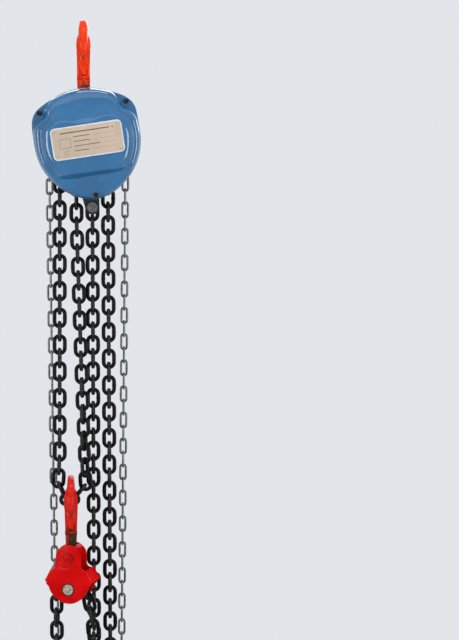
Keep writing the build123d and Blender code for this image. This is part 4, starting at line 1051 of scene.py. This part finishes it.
def hook_section(y, z, lean, depth, inner_w, outer_w, mix, web):
    """Closed section of the forging across the bar, at least web thick each side."""
    a = math.radians(lean)
    out_y, out_z = -math.cos(a), math.sin(a)
    right = []
    count = len(FLANGED)
    for k, (s, w) in enumerate(FLANGED):
        half = w * inner_w / 2
        if s > 0.5:
            half = max(half, w / 0.44 * outer_w / 2 * 0.9)
        half = max(half, web * math.sqrt(max(0.0, 1.0 - max(0.0, (s - 0.55) / 0.5) ** 2)))
        e = math.radians(90 * (2 * k + 1) / count)
        s_mix = s * (1 - mix) + (1 - math.cos(e)) / 2 * mix
        w_mix = half * (1 - mix) + math.sin(e) * inner_w / 2 * mix
        right.append((s_mix * depth, w_mix))
    loop = [(w, y + out_y * s, z + out_z * s) for s, w in right]
    loop += [(-w, y + out_y * s, z + out_z * s) for s, w in reversed(right)]
    return spline_through(loop, 3, True)


def hook_mesh(bowl_r, crown, neck):
    """Forged hook round the bowl, its neck and its shank down to the yoke.

    crown is half the bar's thickness at the top of the bow, and neck widens it
    above the yoke.
    """
    rows = []
    for angle, depth, width, rim, mix in HOOK_STATIONS:
        a = math.radians(angle)
        web = crown if 40.0 < angle < 150.0 else 0.0
        y, z = -bowl_r * math.cos(a), bowl_r * math.sin(a)
        rows.append((y, z, angle, depth, width, rim, mix, web))
    rows.append((19.8, -15.6, 207.0, 27.0, 23.6, 16.0, 0.35, 0.0))
    rows.append((9.4, -29.4, 238.0, 25.5, 22.4 * (1 + neck) / 2, 19.0, 0.7, 0.0))
    for r, z in ((10.8, -50.0), (10.2, -57.0), (9.9, -70.2), (9.4, -71.0), (8.8, -71.3), (8.8, -75.5)):
        r = r * neck if z > -71.2 else r
        rows.append((-r, z, 180.0, 2 * r, 2 * r, 2 * r, 1.0, 0.0))
    curved = spline_through(rows[:13], 5, False) + [np.array(r) for r in rows[13:]]
    rings = []
    for y, z, lean, depth, inner_w, outer_w, mix, web in curved:
        rings.append(hook_section(y, z, lean, depth, inner_w, outer_w, min(1.0, max(0.0, mix)), web))
    turns = np.linspace(0, 2 * math.pi, 37)[:-1]
    collar = [[(COLLAR_R * math.cos(t), COLLAR_R * math.sin(t), z) for t in turns] for z in COLLAR]
    return merge([loft([[tuple(p) for p in ring] for ring in rings]), loft(collar)])


def neck_shade_at(x, y, z, top):
    """Amount of painted shade on the front of the neck, below this height."""
    return smooth((top - z) / 5.0) * smooth((2.0 - y) / 6.0) * (1.0 - 0.7 * smooth((-x - 2.0) / 6.0))


# y and z of the latch's hinge and tip
LATCH_HINGE = (-12.5, -47.0)
LATCH_TIP = (-18.4, -8.5)
LATCH_SHEET = 1.6
LATCH_EAR = 5.0
LATCH_HALF = 6.2


def latch_mesh():
    """Pressed latch: dished tongue with turned edges and two hinge ears."""
    dy, dz = LATCH_TIP[0] - LATCH_HINGE[0], LATCH_TIP[1] - LATCH_HINGE[1]
    reach = math.hypot(dy, dz)
    rows = 26
    cols = 11
    top = []
    for i in range(rows):
        t = i / (rows - 1)
        s = LATCH_EAR + (reach - LATCH_EAR) * t
        to_tip = reach - s
        if to_tip < LATCH_HALF:
            across = math.sqrt(max(0.0, 1 - ((LATCH_HALF - to_tip) / LATCH_HALF) ** 2))
            half = max(0.6, LATCH_HALF * across)
        else:
            half = LATCH_HALF + 1.7 * smooth((to_tip - LATCH_HALF) / 9.0)
        flange = 3.4 * (1 - smooth((s - 12.0) / 12.0)) + 0.9
        row = []
        for j in range(cols):
            u = -1 + 2 * j / (cols - 1)
            side = smooth((abs(u) - 0.62) / 0.38)
            row.append((u * half, side * flange * min(1.0, half / 4.0), s))
        top.append(row)
    verts = []
    for off in (-LATCH_SHEET / 2, LATCH_SHEET / 2):
        for row in top:
            verts += [(x, y + off, s) for x, y, s in row]
    n = rows * cols
    faces = []
    for i in range(rows - 1):
        for j in range(cols - 1):
            a = i * cols + j
            quad = (a, a + 1, a + cols + 1, a + cols)
            faces.append(quad)
            faces.append(tuple(n + q for q in reversed(quad)))
    rim = list(range(cols))
    rim += [i * cols + cols - 1 for i in range(1, rows)]
    rim += [(rows - 1) * cols + j for j in range(cols - 2, -1, -1)]
    rim += [i * cols for i in range(rows - 2, 0, -1)]
    for k in range(len(rim)):
        a, b = rim[k], rim[(k + 1) % len(rim)]
        faces.append((b, a, n + a, n + b))
    parts = [(verts, faces)]
    for side in (-1, 1):
        outline = arc(0.0, 0.0, LATCH_EAR, 180, 360, 18)
        outline += [(4.2, 8.0), (3.0, 13.0), (-0.6, 14.5), (-1.0, 8.0)]
        near, far = ([(side * x, y, s) for y, s in outline] for x in (6.95, 8.65))
        parts.append(prism(near, far))
    verts, faces = merge(parts)
    uy, uz = dy / reach, dz / reach
    hy, hz = LATCH_HINGE
    return [(x, hy + uy * s + uz * y, hz + uz * s - uy * y) for x, y, s in verts], faces


def plate_prism(outline, y0, y1):
    """Slab between two depths from an outline of x, z."""
    return prism([(x, y0, z) for x, z in outline], [(x, y1, z) for x, z in outline])


SHARP = 35.0


def ease(obj, width_mm, segments):
    """Round the sharp edges of a piece."""
    mod = obj.modifiers.new("eased edges", "BEVEL")
    mod.width = width_mm * MM
    mod.segments = segments
    mod.limit_method = "ANGLE"
    mod.angle_limit = math.radians(SHARP)
    mod.harden_normals = False
    bake_modifiers(obj)
    shade(obj, 40.0)


# the cheek's upper lobe, and the two ends of the shoulder that carries a guard
LOBE_H = 57.0
LOBE_R = 23.6
GUARD = ((32.8, 36.0), (44.6, 14.2))
SHOULDER_INSET = 3.6
GUARD_SHEET = 3.1
GUARD_BEND = 4.6
FLARE = math.tan(math.radians(10.0))
CHEEK_IN = 14.5
CHEEK_OUT = 18.0


def cheek_outline(inset):
    """Outline of a cheek; the guarded shoulders are set in by this much."""
    (x0, z0), (x1, z1) = GUARD
    dx, dz = x1 - x0, z1 - z0
    long = math.hypot(dx, dz)
    nx, nz = dz / long * inset, -dx / long * inset
    waist = [(LOBE_R, 50.0), (23.7, 43.0), (25.6, 38.6), (29.0, 36.8), (x0 + nx, z0 + nz)]
    right = [tuple(p) for p in spline_through(waist, 4, False)[:-1]]
    right += [(x0 + nx, z0 + nz), (x1 + nx, z1 + nz)]
    right += [(x1 + nx * 0.6 - 0.5, z1 + nz - 2.2), (42.0, 8.8), (37.5, 4.5)]
    half_belly = [(37.5, 4.5), (33.6, -5.0), (24.5, -16.0), (12.0, -23.6)]
    other_half = [(-x, z) for x, z in reversed(half_belly)]
    belly = spline_through(half_belly + [(0.0, -25.8)] + other_half, 5, False)
    left = [(-x, z) for x, z in reversed(right)]
    return arc(0.0, LOBE_H, LOBE_R, 180, 0, 28) + right + [tuple(p) for p in belly[1:-1]] + left


def guard_mesh(side):
    """Guard turned back along one shoulder of the front cheek."""
    y_face, y_back, thick, bend = -CHEEK_OUT, CHEEK_IN, GUARD_SHEET, GUARD_BEND
    (x0, z0), (x1, z1) = GUARD
    dx, dz = x1 - x0, z1 - z0
    long = math.hypot(dx, dz)
    ux, uz = dx / long, dz / long
    ox, oz = -uz, ux
    profile = [(-bend, y_face)] + arc(-bend, y_face + bend, bend, -90, 0, 6)[1:]
    profile += [(0.0, y_back - 0.8), (-0.8, y_back), (-thick + 0.8, y_back), (-thick, y_back - 0.8)]
    profile += arc(-bend, y_face + bend, bend - thick, 0, -90, 3)
    stations = [(0.0, 1.6), (0.8, 0.5), (1.8, 0.0), (long - 1.8, 0.0), (long - 0.8, 0.5), (long, 1.6)]
    rings = []
    for t, tuck in stations:
        ring = []
        for s, y in profile:
            back = min(y, y_back - tuck)
            out = s + (back - y_face) * FLARE
            ring.append((side * (x0 + ux * t + ox * out), back, z0 + uz * t + oz * out))
        rings.append(ring)
    return loft(rings)


def ring_bead(r, y, wire, z=0.0):
    """Thin ring lying round an axle."""
    slices, sides = 40, 10
    rings = []
    for k in range(slices):
        a = 2 * math.pi * k / slices
        ring = []
        for j in range(sides):
            b = 2 * math.pi * j / sides
            rr = r + wire * math.cos(b)
            ring.append((rr * math.cos(a), y + wire * math.sin(b), z + rr * math.sin(a)))
        rings.append(ring)
    return flat(rings), looped_faces(slices, sides)


# ---- pieces
def housed(name, mesh_data, angle):
    """Piece given in the housing's own frame."""
    return shade(new_piece(name, *mesh_data, HOUSING), angle)


def blocked(name, mesh_data, angle=38.0):
    """Piece given in the lower block's own frame."""
    return shade(new_piece(name, *mesh_data, BLOCK), angle)


class HoistOperator(bpy.types.Operator):
    """Base of the hoist's operators."""

    bl_options = {"REGISTER", "UNDO"}


class HOIST_OT_front_cover(HoistOperator):
    """Pressed gear cover with its two shoulders and shallow foot"""

    bl_idname = "hoist.front_cover"
    bl_label = "Front cover"

    def execute(self, context):
        sizes = context.scene.hoist_sizes
        cover = housed("gear_cover_shell", front_cover_mesh(sizes.cover_slices), 50.0)
        settle(cover, "cover", "front_cover")
        return {"FINISHED"}


class HOIST_OT_rear_cover(HoistOperator):
    """Drum-shaped hand wheel cover, open below for the chain"""

    bl_idname = "hoist.rear_cover"
    bl_label = "Rear cover"

    def execute(self, context):
        drum = new_piece("wheel_cover_drum", *rear_cover_mesh(160))
        mouth = new_piece("mouth", *box_mesh(*DRUM_MOUTH))
        cut_away(drum, mouth)
        for v in drum.data.vertices:
            v.co = HOUSING @ v.co
        shade(drum, 42.0)
        settle(drum, "cover", "rear_cover")
        flange = housed("wheel_cover_flange", flange_mesh(240, PLATE_OUT, PLATE_OUT + WALL), 50.0)
        settle(flange, "cover", "rear_cover", False)
        return {"FINISHED"}


def rounded_rectangle(w, h, r, y, z_mid):
    """Points round a rectangle with rounded corners."""
    pts = []
    for cx, cz, start in ((w / 2 - r, h / 2 - r, 0), (-w / 2 + r, h / 2 - r, 90),
                          (-w / 2 + r, -h / 2 + r, 180), (w / 2 - r, -h / 2 + r, 270)):
        pts += [(px, y, pz) for px, pz in arc(cx, z_mid + cz, r, start, start + 90, 8)]
    return pts


# height and depths of the rating plate, and where its plain rules and boxes lie
PLATE_MID = -1.9
PLATE_BACK = -65.0
PLATE_FACE = -65.8
HEAVY_ENDS = (5.0, 4.0, 21.0, 1.0)
FINE_STARTS = ((9.0, 9.0), (9.0, 1.2), (25.0, -6.8), (6.0, -15.0))
BLANK_FRAMES = (
    (-48.5, -29.0, 7.6, 8.1), (-48.5, -29.0, -8.6, -8.1),
    (-48.5, -48.0, -8.1, 7.6), (-29.5, -29.0, -8.1, 7.6),
    (-43.5, -35.0, -14.6, -14.1), (-43.5, -35.0, -19.1, -18.6),
)


class HOIST_OT_rating_plate(HoistOperator):
    """Rating plate with a bright border, a tan field and plain ruled lines"""

    bl_idname = "hoist.rating_plate"
    bl_label = "Rating plate"

    def execute(self, context):
        sizes = context.scene.hoist_sizes
        w, h = sizes.plate_width / MM, sizes.plate_height / MM
        z, face = PLATE_MID, PLATE_FACE

        def rim(less, r, y):
            return rounded_rectangle(w - less, h - less, r, y, z)

        def block(x0, x1, z0, z1):
            return box_mesh(x0, x1, face - 0.03, face + 0.04, z0, z1)

        def rule(x0, x1, zz, tall):
            return block(x0, x1, z + zz - tall / 2, z + zz + tall / 2)

        border = [rim(0.0, 8.0, PLATE_BACK), rim(0.0, 8.0, face + 0.25), rim(0.5, 7.8, face)]
        border += [rim(3.6, 6.4, face), rim(3.9, 6.2, face + 0.15)]
        field = [rim(4.0, 6.1, face + 0.3), rim(4.0, 6.1, face + 0.06), rim(4.4, 5.9, face + 0.02)]
        heavy = [rule(-46.0, 40.0, 17.6, 1.9), rule(44.5, 47.5, 17.6, 1.6)]
        heavy += [rule(-24.0, x1, 9.6 - row * 8.2, 1.25) for row, x1 in enumerate(HEAVY_ENDS)]
        fine = [rule(x0, 50.0, zz, 0.6) for x0, zz in FINE_STARTS]
        blank = [block(x0, x1, z + z0, z + z1) for x0, x1, z0, z1 in BLANK_FRAMES]
        for name, mesh, angle, kind in (
            ("rating_plate_body", loft(border), 30.0, "border"),
            ("rating_plate_field", loft(field), 30.0, "field"),
            ("rating_plate_heavy_rules", merge(heavy), 20.0, "dark_ink"),
            ("rating_plate_fine_rules", merge(fine), 20.0, "pale_ink"),
            ("rating_plate_blank_frames", merge(blank), 20.0, "dark_ink"),
        ):
            settle(housed(name, mesh, angle), kind, "rating_plate", kind == "border")
        dress("zinc", "rating_plate_rivets")
        return {"FINISHED"}


class HOIST_OT_body_metal(HoistOperator):
    """Turned bolt ends, and finishes of the side plates, stays and small steel parts"""

    bl_idname = "hoist.body_metal"
    bl_label = "Plates, stays and fasteners"

    def execute(self, context):
        bolts = []
        for k, (angle, r) in enumerate(STAYS):
            seat = -SHELF if k == 2 else -PLATE_OUT - WALL
            profile = [(2.1, seat - 2.6), (2.1, seat - 4.6), (2.4, seat - 4.9), (3.7, seat - 4.8)]
            profile += [(4.3, seat - 4.2), (4.4, seat - 0.5), (4.2, seat), (4.0, seat)]
            profile += [(4.0, 41.0), (3.2, 42.0)]
            a = math.radians(angle)
            bolts.append(loft(lathe(profile, r * math.cos(a), r * math.sin(a), 40)))
        caps = housed("stay_bolts_turned", merge(bolts), 30.0)
        settle(caps, "black", "stay_bolts")
        dress("black", "front_side_plate", "rear_side_plate", "stay_nuts", "stay_tubes")
        dress("black", "chain_pin_spacers", "tail_pin", "guide_roller_pins")
        dress("zinc", "suspension_pin")
        dress("pin", "dead_end_pin")
        dress("gear", "guide_roller_left", "guide_roller_right")
        dress("iron", "chain_stripper")
        return {"FINISHED"}


class HOIST_OT_drive_train(HoistOperator):
    """Finishes of the sheave, gears, brake and hand wheel"""

    bl_idname = "hoist.drive_train"
    bl_label = "Gears, brake and wheels"

    def execute(self, context):
        dress("iron", "load_sheave", "hand_wheel", "block_sheave", "brake_hub")
        dress("gear", "sheave_bearings", "load_gear", "drive_shaft", "disc_gear_left", "disc_gear_right")
        dress("gear", "carrier_posts", "ratchet_disc", "hand_wheel_nut")
        dress("black", "gear_carrier", "pawl_left", "pawl_right")
        dress("zinc", "pawl_pins", "pawl_springs")
        dress("lining", "friction_discs")
        return {"FINISHED"}


def shifted_with_shade(name, verts, faces, shift, soil):
    """Piece moved by a shift, with its amount of painted shade stored on its points."""
    obj = new_piece(name, [Vector(v) + shift for v in verts], faces)
    layer = obj.data.attributes.new("soil", "FLOAT", "POINT")
    layer.data.foreach_set("value", soil)
    return obj


def hook_drop():
    """From the top hook to the bottom one, in millimetres."""
    return (Vector(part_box("bottom_hook")[0]) - Vector(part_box("top_hook")[0])) / MM


class HOIST_OT_hooks(HoistOperator):
    """Forged top and bottom hooks"""

    bl_idname = "hoist.hooks"
    bl_label = "Hooks"

    def execute(self, context):
        sizes = context.scene.hoist_sizes
        for node, name, kind, shift, crown, neck, top in (
            ("top_hook", "top_hook_forging", "hook", Vector(), 8.0, 1.12, -55.0),
            ("bottom_hook", "bottom_hook_forging", "lower_hook", hook_drop(), 5.5, 1.0, -42.0),
        ):
            verts, faces = hook_mesh(sizes.bowl_radius / MM, crown, neck)
            # painted shade stored on the front of the neck
            obj = shifted_with_shade(name, verts, faces, shift, [neck_shade_at(*v, top) for v in verts])
            shade(obj, 45.0)
            settle(obj, kind, node)
        return {"FINISHED"}


class HOIST_OT_latches(HoistOperator):
    """Pressed safety latches with their pins and springs"""

    bl_idname = "hoist.latches"
    bl_label = "Safety latches"

    def execute(self, context):
        verts, faces = latch_mesh()
        for node, name, kind, shift, top in (
            ("top_latch", "top_latch_pressing", "hook", Vector(), -52.0),
            ("bottom_latch", "bottom_latch_pressing", "lower_hook", hook_drop(), -38.0),
        ):
            # painted shade on the latch's lower end, near the hinge
            painted_neck_shade = [neck_shade_at(0.0, -9.0, v[2], top) for v in verts]
            obj = shifted_with_shade(name, verts, faces, shift, painted_neck_shade)
            ease(obj, 0.3, 2)
            settle(obj, kind, node)
        dress("hook", "top_latch_pin", "top_latch_spring")
        dress("lower_hook", "bottom_latch_pin")
        dress("grime", "bottom_latch_spring")
        return {"FINISHED"}


class HOIST_OT_yokes(HoistOperator):
    """Split yokes that hold the hooks' collars"""

    bl_idname = "hoist.yokes"
    bl_label = "Yokes"

    def execute(self, context):
        dress("black", "top_yoke_left", "top_yoke_right")
        dress("block", "block_yoke_left", "block_yoke_right")
        return {"FINISHED"}


def cheek_piece(node, inset, y0, y1):
    """One pressed cheek of the lower block, its edges eased."""
    cheek = blocked("block_" + node, plate_prism(cheek_outline(inset), y0, y1))
    ease(cheek, 1.1, 4)
    settle(cheek, "block", node)


class HOIST_OT_lower_block(HoistOperator):
    """Pressed cheeks of the lower block, their guards, pin and axle"""

    bl_idname = "hoist.lower_block"
    bl_label = "Lower block"

    def execute(self, context):
        y_face = -CHEEK_OUT
        cheek_piece("front_cheek", SHOULDER_INSET, y_face, -CHEEK_IN)
        for side, name in ((-1, "block_guard_left"), (1, "block_guard_right")):
            settle(blocked(name, guard_mesh(side)), "block", "front_cheek", False)
        cheek_piece("rear_cheek", 0.0, CHEEK_IN, CHEEK_OUT)
        # black ring round the axle head: partly the dark joint, partly painted shade
        seat = blocked("block_axle_seat", ring_bead(11.0, y_face, 0.9))
        settle(seat, "black", "front_cheek", False)
        # dark red ring round the pin head: painted shade at the edge of the head
        gap = blocked("block_pin_seat", ring_bead(7.7, -19.2, 1.15, LOBE_H))
        settle(gap, "painted_shade_red", "front_cheek", False)
        bore = [(8.0, y_face + 0.1), (8.0, CHEEK_OUT)]
        pin = [(5.3, -21.5), (6.1, -21.3), (7.9, -19.6), (8.3, -18.9), (8.3, y_face)]
        pin += bore + [(9.4, 18.1), (9.4, 19.8), (8.5, 20.6)]
        turned = blocked("block_pin_turned", loft(lathe(pin, 0.0, LOBE_H)), 30.0)
        settle(turned, "block", "block_pin")
        axle = [(8.6, -21.6), (9.2, -21.3), (9.5, -20.7), (9.5, y_face)]
        axle += bore + [(7.0, 18.1), (7.0, 23.2), (6.2, 24.0)]
        turned = blocked("block_axle_turned", loft(lathe(axle)), 18.0)
        settle(turned, "axle", "block_axle")
        dress("axle", "block_axle_nut")
        return {"FINISHED"}


class HOIST_OT_load_chain(HoistOperator):
    """Load chain, link by link, with bright wear where the links bear and painted highlights round the
    links
    """

    bl_idname = "hoist.load_chain"
    bl_label = "Load chain"

    def execute(self, context):
        sizes = context.scene.hoist_sizes
        link = one_link(sizes.load_pitch, sizes.load_wire, sizes.load_width, sizes.link_sides, LOAD_WELD)
        for node in LOAD_RUNS:
            settle(chain_piece(node, *link), "load_chain", node)
        return {"FINISHED"}


class HOIST_OT_hand_chain(HoistOperator):
    """Hand chain, link by link"""

    bl_idname = "hoist.hand_chain"
    bl_label = "Hand chain"

    def execute(self, context):
        sizes = context.scene.hoist_sizes
        sides = max(8, sizes.link_sides - 4)
        link = one_link(sizes.hand_pitch, sizes.hand_wire, sizes.hand_width, sides, HAND_WELD)
        for node in HAND_RUNS:
            settle(chain_piece(node, *link), "hand_chain", node)
        return {"FINISHED"}


# ---- stage
def soft_light(name, place, aim, width, height, watts):
    """Rectangular soft box that looks at a point."""
    data = bpy.data.lights.new(name, "AREA")
    data.shape = "RECTANGLE"
    data.size = width
    data.size_y = height
    data.energy = watts
    lamp = in_scene(data)
    lamp.location = place
    lamp.rotation_euler = (Vector(aim) - Vector(place)).to_track_quat("-Z", "Y").to_euler()


# name, place, height aimed at, width, height and watts of each soft box
LAMPS = (
    ("top_box", (0.1, -0.55, 2.6), -0.16, 1.3, 0.8, 40.0),
    ("left_box", (-2.2, -1.7, -0.42), -0.42, 1.6, 1.6, 56.0),
    ("right_box", (2.2, -1.7, -0.42), -0.42, 1.6, 1.6, 56.0),
    ("front_fill", (-0.3, -4.8, 1.0), -0.55, 2.2, 2.0, 14.0),
    ("back_fill", (0.6, 2.8, 0.9), -0.55, 2.4, 2.0, 50.0),
)
FLOOR_DROP = 0.14
FLOOR_HALF = 40.0
# place in metres, then degrees below level and turned from straight ahead
CAMERA_PLACE = (0.0035, -3.936, -0.104)
CAMERA_DOWN = 5.4
CAMERA_TURN = -3.685
CAMERA_LENS = 125.0
ROOM = (0.76, 0.785, 0.82)
AMBIENT = 0.14


def seen_or_lit(tree, seen, lit):
    """Number that is one value to the eye and in reflections, another as light."""
    path = tree.nodes.new("ShaderNodeLightPath")
    either = path.outputs["Is Camera Ray"]
    for name in ("Is Glossy Ray", "Is Transmission Ray"):
        node = tree.nodes.new("ShaderNodeMath")
        node.operation = "MAXIMUM"
        tree.links.new(either, node.inputs[0])
        tree.links.new(path.outputs[name], node.inputs[1])
        either = node.outputs[0]
    node = tree.nodes.new("ShaderNodeMapRange")
    tree.links.new(either, node.inputs["Value"])
    node.inputs["To Min"].default_value = lit
    node.inputs["To Max"].default_value = seen
    return node.outputs["Result"]


def pale_surface():
    """Pale floor paint that melts into the room's colour further out."""
    f = Finish("Pale studio floor")
    cloud = f.noise(700, 3.0)
    base = f.over((0.44, 0.455, 0.48), cloud, 0.3, 0.7, (0.47, 0.485, 0.505))
    f.gloss(0.04)
    f.finish(base, f.between(cloud, 0.3, 0.7, 0.72, 0.84))
    glow = seen_or_lit(f.tree, 0.42, 0.0)
    f.fill(f.shader, **{"Emission Color": ROOM, "Emission Strength": glow})
    far = f.add("ShaderNodeEmission")
    f.fill(far, Color=ROOM, Strength=seen_or_lit(f.tree, 1.0, AMBIENT))
    reach = f.add("ShaderNodeVectorMath", operation="LENGTH")
    f.put(reach.inputs[0], f.place)
    mix = f.add("ShaderNodeMixShader")
    melt = f.between(reach.outputs["Value"], 0.4, 1.3)
    for socket, source in zip(mix.inputs, (melt, f.shader.outputs[0], far.outputs[0])):
        f.put(socket, source)
    f.fill(f.tree.nodes["Material Output"], Surface=mix.outputs[0])
    return f.mat


class HOIST_OT_stage(HoistOperator):
    """Pale floor that melts into a pale room, soft boxes and the camera"""

    bl_idname = "hoist.stage"
    bl_label = "Stage"

    def execute(self, context):
        scene = bpy.context.scene
        scene.view_settings.view_transform = "Standard"
        half = FLOOR_HALF / MM
        floor = new_piece("floor", *box_mesh(-half, half, -half, half, -20, 0))
        floor.location.z = CAD_BOX[0][2] - FLOOR_DROP
        set_material(floor, pale_surface())
        world = bpy.data.worlds.new("Pale room")
        scene.world = world
        world.use_nodes = True
        room = world.node_tree.nodes["Background"]
        room.inputs["Color"].default_value = (*ROOM, 1.0)
        world.node_tree.links.new(seen_or_lit(world.node_tree, 1.0, AMBIENT), room.inputs["Strength"])
        for name, place, aim_z, width, height, watts in LAMPS:
            soft_light(name, place, (0.0, 0.0, aim_z), width, height, watts)
        data = bpy.data.cameras.new("camera")
        data.lens = CAMERA_LENS
        data.clip_end = 60.0
        cam = in_scene(data)
        cam.location = CAMERA_PLACE
        cam.rotation_euler = (math.radians(90.0 - CAMERA_DOWN), 0.0, math.radians(CAMERA_TURN))
        scene.camera = cam
        return {"FINISHED"}


class HOIST_PT_panel(bpy.types.Panel):
    """Lists the hoist's pieces and settings"""

    bl_idname = "HOIST_PT_panel"
    bl_label = "Chain Hoist"
    bl_space_type = "VIEW_3D"
    bl_region_type = "UI"
    bl_category = "Hoist"

    def draw(self, context):
        column = self.layout.column(align=True)
        for operator in STEPS:
            column.operator(operator.bl_idname)
        for group in (context.scene.hoist_sizes, context.scene.hoist_colours):
            box = self.layout.box()
            for key in group.bl_rna.properties.keys():
                if key not in ("rna_type", "name"):
                    box.prop(group, key)


STEPS = (
    HOIST_OT_stage,
    HOIST_OT_front_cover,
    HOIST_OT_rear_cover,
    HOIST_OT_rating_plate,
    HOIST_OT_body_metal,
    HOIST_OT_drive_train,
    HOIST_OT_hooks,
    HOIST_OT_latches,
    HOIST_OT_yokes,
    HOIST_OT_lower_block,
    HOIST_OT_load_chain,
    HOIST_OT_hand_chain,
)


def register():
    """Add the hoist's settings, operators and panel."""
    for cls in (HoistColours, HoistSizes, *STEPS, HOIST_PT_panel):
        bpy.utils.register_class(cls)
    bpy.types.Scene.hoist_sizes = PointerProperty(type=HoistSizes)
    bpy.types.Scene.hoist_colours = PointerProperty(type=HoistColours)


def unregister():
    """Take the hoist's settings, operators and panel away."""
    del bpy.types.Scene.hoist_colours
    del bpy.types.Scene.hoist_sizes
    for cls in (HOIST_PT_panel, *reversed(STEPS), HoistSizes, HoistColours):
        bpy.utils.unregister_class(cls)


def main():
    """Build the whole hoist."""
    register()
    for step in STEPS:
        group, name = step.bl_idname.split(".")
        getattr(getattr(bpy.ops, group), name)()


if __name__ == "__main__":
    main()
